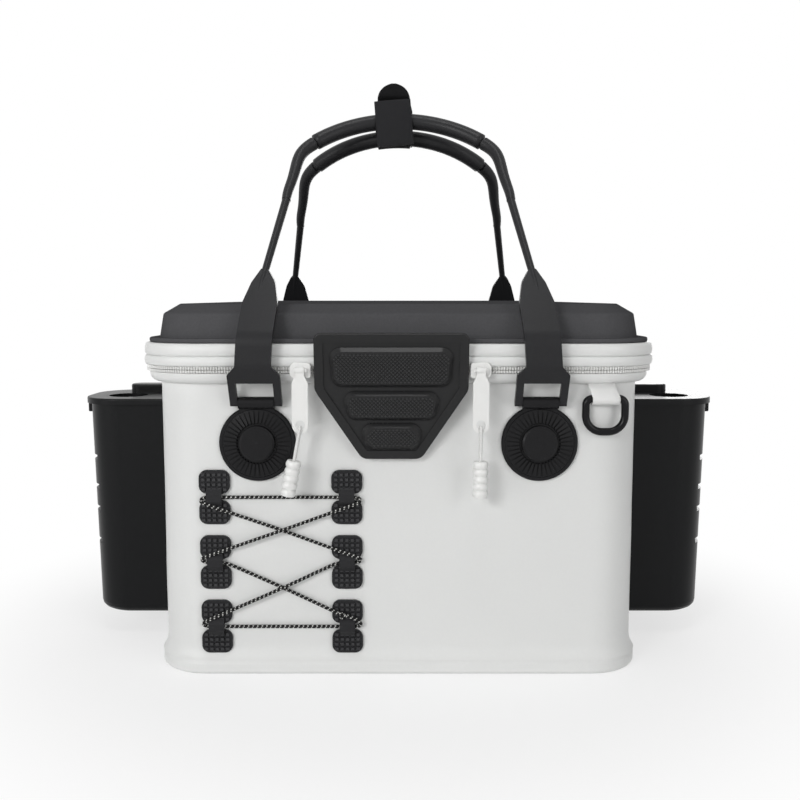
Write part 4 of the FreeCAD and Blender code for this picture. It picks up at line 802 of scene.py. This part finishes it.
class BUCKET_OT_stage(bpy.types.Operator):
    """Camera, pale floor, soft light and a white surround"""

    bl_idname = "bucket.stage"
    bl_label = "Stage"

    def execute(self, context):
        scene = context.scene
        scene.view_settings.view_transform = "Standard"
        lens = bpy.data.cameras.new("Camera")
        lens.sensor_width = SENSOR
        lens.lens = FOCAL_LENGTH
        camera = bpy.data.objects.new("Camera", lens)
        camera.location = EYE
        camera.rotation_euler = (EYE_TILT, 0, 0)
        scene.collection.objects.link(camera)
        scene.camera = camera
        self.floor()
        self.surround(scene)
        for name, place, aim, size, watts in LAMPS:
            light = bpy.data.lights.new(name, "AREA")
            light.size = size
            light.energy = watts
            lamp = bpy.data.objects.new(name, light)
            lamp.location = place
            lamp.rotation_euler = (Vector(aim) - Vector(place)).to_track_quat("-Z", "Y").to_euler()
            scene.collection.objects.link(lamp)
        return {"FINISHED"}

    def floor(self):
        """Pale floor that fades into white away from the bucket."""
        mesh = bpy.data.meshes.new("floor")
        corners = [(x * FLOOR_HALF, y * FLOOR_HALF, 0) for x, y in ((-1, -1), (1, -1), (1, 1), (-1, 1))]
        mesh.from_pydata(corners, [], [(0, 1, 2, 3)])
        tree, shader = new_material("pale_floor")
        feed(tree, shader, {"Base Color": (0.92, 0.92, 0.92, 1), "Roughness": 0.8})
        far = add(tree, "ShaderNodeVectorMath", {0: (add(tree, "ShaderNodeTexCoord"), "Object")},
                  operation="LENGTH")
        fade = add(tree, "ShaderNodeMapRange", {
            "Value": (far, "Value"), "From Min": 0.20, "From Max": 0.44, "To Min": 0.66},
            interpolation_type="SMOOTHSTEP")
        self.whiten(tree, maths(tree, "MULTIPLY", fade, self.seen(tree)), shader,
                    add(tree, "ShaderNodeEmission"), "Material Output")
        piece("floor", mesh, bpy.data.materials["pale_floor"])

    def surround(self, scene):
        """White surround for the eye, with a plain level of light from it that falls off overhead."""
        scene.world = bpy.data.worlds.new("Surround")
        scene.world.use_nodes = True
        tree = scene.world.node_tree
        light = tree.nodes["Background"]
        parts = add(tree, "ShaderNodeSeparateXYZ", {0: (add(tree, "ShaderNodeTexCoord"), "Generated")})
        level = add(tree, "ShaderNodeMapRange", {
            "Value": (parts, "Z"), "From Min": 0.1, "From Max": 0.9, "To Min": 0.36, "To Max": 0.08})
        feed(tree, light, {"Color": (1, 1, 1, 1), "Strength": level})
        white = add(tree, "ShaderNodeBackground", {"Color": (1, 1, 1, 1)})
        self.whiten(tree, self.seen(tree), light, white, "World Output")

    def seen(self, tree):
        """1 on the rays that show the surround to the eye, 0 on those that carry light."""
        path = add(tree, "ShaderNodeLightPath")
        rays = maths(tree, "MAXIMUM", (path, "Is Camera Ray"), (path, "Is Glossy Ray"))
        return maths(tree, "MAXIMUM", rays, (path, "Is Transmission Ray"))

    def whiten(self, tree, share, shader, white, output):
        """End a tree in a mix of a shader with white."""
        mix = add(tree, "ShaderNodeMixShader", {0: share, 1: shader, 2: white})
        feed(tree, tree.nodes[output], {"Surface": mix})


class BUCKET_OT_mouldings(bpy.types.Operator):
    """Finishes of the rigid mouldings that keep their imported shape"""

    bl_idname = "bucket.mouldings"
    bl_label = "Mouldings"

    def execute(self, context):
        by_node = {s["node"]: s["material_slot"] for s in frame["record"]["subparts"]}
        soft = {"wrap_cloth", "white_zip", "white_web", "shock_cord", "white_cord"}
        for name, obj in nodes.items():
            slot = by_node[name]
            if slot in soft:
                continue
            if name == "front_flap":
                slot = "flap_rubber"
            # Patches and anchor loops take the darker copy of the rubber, painted shade for their rib grooves
            if name.endswith(("_patch", "_anchor_loop")):
                slot = "patch_rubber"
            for place in obj.material_slots:
                place.material = finish(slot)
        return {"FINISHED"}


class BUCKET_OT_sheet(bpy.types.Operator):
    """Soft white sheet: wall, rolled collar and the two rolls of the lid's band"""

    bl_idname = "bucket.sheet"
    bl_label = "Sheet"

    def execute(self, context):
        wave = sizes().sheet_wave
        roll = sizes().band_wave

        def wall(t):
            levels = [WALL_FOOT + 0.0010 * i for i in range(17)]
            levels += [WALL_PLAIN + (WALL_TOP - WALL_PLAIN) * i / 20 for i in range(1, 21)]
            points = []
            for z in levels:
                share = (z - FLOOR_TOP) / (WALL_TOP - FLOOR_TOP)
                free = math.sin(math.pi * share)
                flare = max(0.0, (FLARE_TOP - z) / (FLARE_TOP - WALL_FOOT))
                points.append((wave * free * wander(t, 1.3 + 2.2 * share) + FLARE_OUT * flare ** 3, z))
            return points + [(-WALL_THICK, z) for out, z in reversed(points)]

        def collar(t):
            lift = roll * 0.6 * wander(t, 0.4)
            points = [COLLAR_START]
            for i in range(9):
                a = math.radians(90 * i / 8)
                points.append((COLLAR_OUT * math.sin(a) ** 0.8,
                               COLLAR_FOOT + COLLAR_RISE * (1 - math.cos(a)) + lift * (1 - i / 8)))
            return points + COLLAR_END

        def band(t):
            sway = roll * wander(t, 2.1)
            lean = roll * wander(t, 4.0)
            points = [(TAPE_ROOT, BAND_FOOT), (0.0100, BAND_FOOT)]
            for i in range(1, 9):
                a = math.pi * i / 9
                out = LOWER_ROLL_OUT + 0.0019 * math.sin(a) ** 0.8
                rise = LOWER_ROLL_RISE * (1 - math.cos(a)) / 2
                points.append((out + lean * math.sin(a) * 0.3, BAND_FOOT + rise + sway * 0.6 * math.sin(a)))
            points.append((GROOVE_OUT, GROOVE_HEIGHT + sway * 0.5))
            for i in range(1, 10):
                a = math.pi * i / 10
                out = UPPER_ROLL_OUT - 0.0008 * i / 10 + 0.0023 * math.sin(a) ** 0.7
                rise = UPPER_ROLL_RISE * (1 - math.cos(a)) / 2
                points.append((out - lean * math.sin(a) * 0.4,
                               UPPER_ROLL_FOOT + rise + sway * 0.5 * (1 - i / 10)))
            return points + [(0.0090, BAND_HEAD), (TAPE_ROOT, BAND_HEAD)]

        for name, section, body, node in (("wall_sheet", wall, "bucket", "bucket_wall"),
                                          ("collar_roll", collar, "bucket", "rim_collar"),
                                          ("band_rolls", band, "lid", "lid_band")):
            mesh = sharp_at(round_the_wall(name, section), 50)
            dressed(name, mesh, body, "white_sheet", node)
        return {"FINISHED"}


class BUCKET_OT_zip(bpy.types.Operator):
    """Woven zip tapes and their teeth on the front, the sides and the corners"""

    bl_idname = "bucket.zip"
    bl_label = "Zip"

    def execute(self, context):
        stations = wall_stations(0.004)[0]
        strip_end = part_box("hinge_strip")[1].x + 0.001
        toothed = [s for s in stations if (s[0] + s[1] * TEETH_END_OUT).y < TEETH_END_Y]
        open_run = [s for s in stations if s in toothed or abs(s[0].x) > strip_end]
        tree = zip_tree()
        for name, body, low, high, node in ZIP_TAPES:
            section = ((TAPE_ROOT, low), (TAPE_FLAT, low), (TAPE_REACH, low + TAPE_BEVEL),
                       (TAPE_REACH, high - TAPE_BEVEL), (TAPE_FLAT, high), (TAPE_ROOT, high))
            rows = []
            for station in open_run:
                at, normal, run = station
                reach = TAPE_REACH if station in toothed else TAPE_END_REACH
                rows.append([outward(at, normal, min(out, reach), z) for out, z in section])
            first = [Vector(p) for p in section]
            mesh = skin(name, rows, caps=True, across=runs(first + first[:1]), down=[s[2] for s in open_run])
            dressed(name, sharp_at(mesh, 40), body, "white_zip", node)
            points = []
            edges = []
            for at, normal, run in toothed:
                place = outward(at, normal, TEETH_OUT, (low + high) / 2)
                joined = bool(points) and (place - points[-1]).length < STATION_GAP
                points.append(place)
                if joined:
                    edges.append((len(points) - 2, len(points) - 1))
            teeth = grown(name + "_teeth", tree, points_mesh(name + "_line", points, edges), {
                "Pitch": sizes().tooth_pitch, "Width": sizes().tooth_width, "Depth": TOOTH_DEPTH,
                "Height": high - low, "Material": finish("zip_teeth")})
            self.clear_of_sliders(teeth.data)
            set_piece(teeth, body, "white_zip")
        return {"FINISHED"}

    def clear_of_sliders(self, mesh):
        """Leave the teeth out where the sliders' posts run."""
        shell = bmesh.new()
        shell.from_mesh(mesh)
        stack = [v for v in shell.verts if v.co.y < -HALF_Y and any(a < v.co.x < b for a, b in POST_RUNS)]
        gone = set()
        while stack:
            at = stack.pop()
            if at not in gone:
                gone.add(at)
                stack += [edge.other_vert(at) for edge in at.link_edges]
        bmesh.ops.delete(shell, geom=list(gone), context="VERTS")
        shell.to_mesh(mesh)
        shell.free()


class BUCKET_OT_flap(bpy.types.Operator):
    """Diagonal hatch on the three pads of the front flap"""

    bl_idname = "bucket.flap"
    bl_label = "Flap"

    def execute(self, context):
        points = []
        faces = []
        for drop, height, half_top, half_foot in PADS:
            wide = half_top - HATCH_INSET
            narrow = half_foot - HATCH_INSET
            top = -drop - HATCH_INSET
            foot = -drop - height + HATCH_INSET
            corners = [Vector(p) for p in ((wide, top), (narrow, foot), (-narrow, foot), (-wide, top))]
            outline = rounded(corners, [HATCH_CORNER_R] * 4)
            faces.append(tuple(range(len(points), len(points) + len(outline))))
            points += [(p.x, p.y, 0.0) for p in outline]
        mesh = bpy.data.meshes.new("pad_outlines")
        mesh.from_pydata(points, [], faces)
        turn = Matrix.Rotation(FLAP_TILT, 3, "X") @ Matrix.Rotation(math.radians(90), 3, "X")
        face = FLAP_TOP + Matrix.Rotation(FLAP_TILT, 3, "X") @ Vector((0, -PAD_FACE, 0))
        # The hatch takes the lighter copy of the flap rubber, painted highlight
        hatch = grown("pad_hatch", hatch_tree(), mesh, {
            "Pitch": sizes().hatch_pitch, "Rise": sizes().hatch_rise, "Reach": HATCH_REACH,
            "Rotation": turn.to_euler(), "Place": face, "Material": finish("pad_rubber")})
        set_piece(hatch, "flap", "black_rubber")
        return {"FINISHED"}


class BUCKET_OT_cord_tabs(bpy.types.Operator):
    """Raised squares on the lobes of the six cord tabs"""

    bl_idname = "bucket.cord_tabs"
    bl_label = "Cord tabs"

    def execute(self, context):
        places = [(x, LOBE_FACE, z + side * LOBE_PITCH / 2)
                  for x in TAB_COLUMNS for z in TAB_ROWS for side in (-1, 1)]
        # The squares take the lighter copy of the rubber, painted highlight
        squares = grown("lobe_squares", lobe_tree(), points_mesh("lobe_middles", places), {
            "Columns": sizes().square_columns, "Rows": sizes().square_rows, "Width": SQUARES_WIDTH,
            "Height": SQUARES_HEIGHT, "Square": SQUARE, "Material": finish("tab_rubber")})
        set_piece(squares, "bucket", "black_rubber")
        return {"FINISHED"}


class BUCKET_OT_shock_cord(bpy.types.Operator):
    """Shock cord laced through the tabs, and the knot of its two ends"""

    bl_idname = "bucket.shock_cord"
    bl_label = "Shock cord"

    def execute(self, context):
        radius = sizes().cord_radius
        line = smooth_line("shock_cord_line", [Vector(p) for p in SHOCK_ROUTE])
        mesh = tube("laced_cord", line, radius, 12)
        cord = dressed("laced_cord", mesh, "bucket", "shock_cord", "shock_cord")
        turns = []
        for i in range(KNOT_STEPS):
            a = 2 * math.pi * i / KNOT_STEPS
            bend = Vector((math.sin(a) + 2 * math.sin(2 * a), -math.sin(3 * a) * 1.3,
                           math.cos(a) - 2 * math.cos(2 * a)))
            turns.append(KNOT + bend * KNOT_SIZE)
        mesh = tube("cord_end_knot", turns + turns[:1], radius * KNOT_TIGHT, 10)
        knot = dressed("cord_end_knot", mesh, "bucket", "shock_cord", "cord_knot")
        return {"FINISHED"}


class BUCKET_OT_pull_cords(bpy.types.Operator):
    """Loop of thin cord between each zip pull and its finger grip"""

    bl_idname = "bucket.pull_cords"
    bl_label = "Pull cords"

    def execute(self, context):
        radius = sizes().pull_cord_radius
        for side, sway in PULL_SWAY.items():
            turn = Matrix.Rotation(sway, 3, "Y")
            eye = PULL_EYE + Vector((SLIDERS[side], 0, 0))
            route = [eye + turn @ Vector(p) for p in PULL_LOOP]
            line = smooth_line(side + "_loop_line", route)
            mesh = tube(side + "_pull_loop", line, radius, 10)
            cord = dressed(side + "_pull_loop", mesh, side + "_cord", "white_cord", side + "_pull_cord")
        return {"FINISHED"}


class BUCKET_OT_webbing(bpy.types.Operator):
    """Webbing loop that carries the D-ring"""

    bl_idname = "bucket.webbing"
    bl_label = "Webbing"

    def execute(self, context):
        route = [(-HALF_Y - out, z) for out, z in WEB_DOWN]
        for i in range(15):
            a = math.radians(20 - 220 * i / 14)
            route.append((RING_BAR.y + WEB_BEND_R * math.cos(a), RING_BAR.z + WEB_BEND_R * math.sin(a)))
        route += [(-HALF_Y - out, z) for out, z in WEB_UP]
        line = [Vector((RING_BAR.x, y, z)) for y, z in route]
        inner = WEB_HALF - WEB_THICK
        face = [(x, WEB_THICK) for x in (-inner, -WEB_HALF / 2, 0, WEB_HALF / 2, inner)]
        back = [(x, -y) for x, y in reversed(face)]
        section = [(-WEB_HALF, 0)] + face + [(WEB_HALF, 0)] + back
        rows = []
        for i, at in enumerate(line):
            on = (line[min(i + 1, len(line) - 1)] - line[max(i - 1, 0)]).normalized()
            out = Vector((1, 0, 0)).cross(on)
            lean = WEB_LEAN * max(0.0, (at.z - WEB_LEAN_FOOT) / WEB_LEAN_RISE)
            rows.append([at + Vector((x + lean, 0, 0)) + out * y for x, y in section])
        mesh = skin("ring_webbing", rows, caps=True, across=WEB_ROUND, down=runs(line))
        dressed("ring_webbing", mesh, "bucket", "white_web", "ring_web")
        return {"FINISHED"}


class BUCKET_OT_grips(bpy.types.Operator):
    """Foam sleeves on the crowns of the two handles"""

    bl_idname = "bucket.grips"
    bl_label = "Grips"

    def execute(self, context):
        for name, grip, side in (("front", FRONT_GRIP, 1), ("back", BACK_GRIP, -1)):
            angles = [math.radians(SLEEVE_ANGLES[name] * (i / 30 - 1)) for i in range(61)]
            line = [arch_point(grip, side, a) for a in angles]
            mesh = tube(name + "_sleeve", line, SLEEVE_R, 28, ends=SLEEVE_EDGE)
            sleeve = dressed(name + "_sleeve", mesh, name + "_handle", "grip_foam", name + "_grip")
        return {"FINISHED"}


def arch_point(grip, side, angle):
    """Point of a handle's crown at an angle from its middle; side is 1 in front and -1 at the back."""
    foot = Vector((0, ARCH_FOOT.y * side, ARCH_FOOT.z))
    up = (grip - foot).normalized()
    return grip + Vector((ARCH_R * math.sin(angle), 0, 0)) + up * (ARCH_R * (math.cos(angle) - 1))


class BUCKET_OT_wraps(bpy.types.Operator):
    """Coated cloth that holds the grips together: a half with the panel and a half with the round tab"""

    bl_idname = "bucket.wraps"
    bl_label = "Wraps"

    def execute(self, context):
        middle = WRAP_X / ARCH_R
        halves = (
            ("front", FRONT_GRIP, 1, self.front_panel(), None, (PANEL_WIDTH, PANEL_HEIGHT), None),
            ("back", BACK_GRIP, -1, self.back_panel(), "wrap_lining", (2 * BACK_HALF, BACK_FLAT), BACK_AREA))
        for name, grip, side, mesh, look, flat, area in halves:
            line = [arch_point(grip, side, middle + LOOP_HALF * (i / 8 - 1)) for i in range(17)]
            place = (name + "_handle", "wrap_cloth", name + "_wrap")
            loop = dressed(name + "_wrap_loop", self.sleeve(name + "_wrap_loop", line), *place)
            panel = dressed(name + "_wrap_panel", mesh, *place, look=look)
        return {"FINISHED"}

    def sleeve(self, name, line):
        """Open sleeve of cloth round a grip, with an inner and an outer face."""
        turns = [2 * math.pi * k / LOOP_SIDES for k in range(LOOP_SIDES)]
        inner = []
        outer = []
        for i, at in enumerate(line):
            j = min(max(i, 1), len(line) - 2)
            on = (line[j + 1] - line[j - 1]).normalized()
            up = on.cross(Vector((0, 1, 0)))
            across = up.cross(on)
            spokes = [across * math.cos(a) + up * math.sin(a) for a in turns]
            inner.append([at + spoke * LOOP_INNER_R for spoke in spokes])
            outer.append([at + spoke * LOOP_OUTER_R for spoke in spokes])
        mesh = skin(name, inner + list(reversed(outer)), along=True)
        return sharp_at(mesh, 60)

    def panel_mesh(self, name, rows):
        """Cloth panel from rows of centre points, with its thickness and soft edges."""
        mesh = skin(name, rows, around=False)
        holder = piece(name + "_draft", mesh, finish("wrap_cloth"))
        solid = holder.modifiers.new("Thickness", "SOLIDIFY")
        solid.thickness = CLOTH
        solid.offset = 0
        edge = holder.modifiers.new("Edge", "BEVEL")
        edge.width = CLOTH * 0.3
        edge.segments = 2
        edge.limit_method = "ANGLE"
        done = plain_mesh(holder)
        bpy.data.objects.remove(holder)
        bpy.data.meshes.remove(mesh)
        done.name = name
        done.shade_smooth()
        return sharp_at(done, 40)

    def front_panel(self):
        """Flat panel in front of the front grip, a little aslant."""
        face = FRONT_GRIP.y - PANEL_AHEAD
        turn = Matrix.Rotation(PANEL_SLANT, 3, "Y")
        centre = Vector((WRAP_X, face, FRONT_GRIP.z))
        rows = []
        for i in range(15):
            z = PANEL_FOOT + PANEL_HEIGHT * i / 14
            row = []
            for j in range(11):
                x = -PANEL_WIDTH / 2 + PANEL_WIDTH * j / 10
                bow = PANEL_BOW * (1 - (x / (PANEL_WIDTH / 2)) ** 2) * math.cos(z * 60)
                row.append(centre + turn @ Vector((x, PANEL_EASE - bow, z)))
            rows.append(row)
        return self.panel_mesh("front_wrap_panel", rows)

    def back_panel(self):
        """Panel behind the back grip that rises over the front grip and ends in a round tab."""
        path = smooth_line("wrap_line", [Vector((0, y, z)) for y, z in BACK_WRAP_LINE])
        rows = []
        for at in path:
            if at.z < SHOULDER_FOOT:
                half = BACK_HALF
            elif at.z < SHOULDER_HEAD:
                step = (at.z - SHOULDER_FOOT) / (SHOULDER_HEAD - SHOULDER_FOOT)
                half = BACK_HALF - (BACK_HALF - TAB_HALF) * step
            else:
                rise = max(0.0, at.z - TAB_FOOT) / TAB_RISE
                half = TAB_HALF * math.sqrt(max(0.02, 1 - rise ** 2))
            rows.append([Vector((WRAP_X + half * (j / 5 - 1), at.y, at.z)) for j in range(11)])
        return self.panel_mesh("back_wrap_panel", rows)


class BUCKET_PT_panel(bpy.types.Panel):
    """Colours, sizes and steps of the fishing bucket"""

    bl_idname = "BUCKET_PT_panel"
    bl_label = "Fishing bucket"
    bl_space_type = "VIEW_3D"
    bl_region_type = "UI"
    bl_category = "Bucket"

    def draw(self, context):
        layout = self.layout
        for group in (context.scene.bucket_colours, context.scene.bucket_sizes):
            box = layout.box()
            for name in group.__annotations__:
                box.prop(group, name)
        for step in STEPS:
            layout.operator(step.bl_idname)


STEPS = (BUCKET_OT_stage, BUCKET_OT_mouldings, BUCKET_OT_shock_cord, BUCKET_OT_pull_cords,
         BUCKET_OT_sheet, BUCKET_OT_zip, BUCKET_OT_flap, BUCKET_OT_cord_tabs, BUCKET_OT_webbing,
         BUCKET_OT_grips, BUCKET_OT_wraps)
CLASSES = (BucketColours, BucketSizes) + STEPS + (BUCKET_PT_panel,)


def register():
    """Register the classes and hang the properties on the scene."""
    for item in CLASSES:
        bpy.utils.register_class(item)
    bpy.types.Scene.bucket_colours = PointerProperty(type=BucketColours)
    bpy.types.Scene.bucket_sizes = PointerProperty(type=BucketSizes)


def unregister():
    """Take the properties and classes away again."""
    del bpy.types.Scene.bucket_colours
    del bpy.types.Scene.bucket_sizes
    for item in reversed(CLASSES):
        bpy.utils.unregister_class(item)


def main():
    """Run every step in order."""
    register()
    for step in STEPS:
        area, name = step.bl_idname.split(".")
        getattr(getattr(bpy.ops, area), name)()


if __name__ == "__main__":
    main()
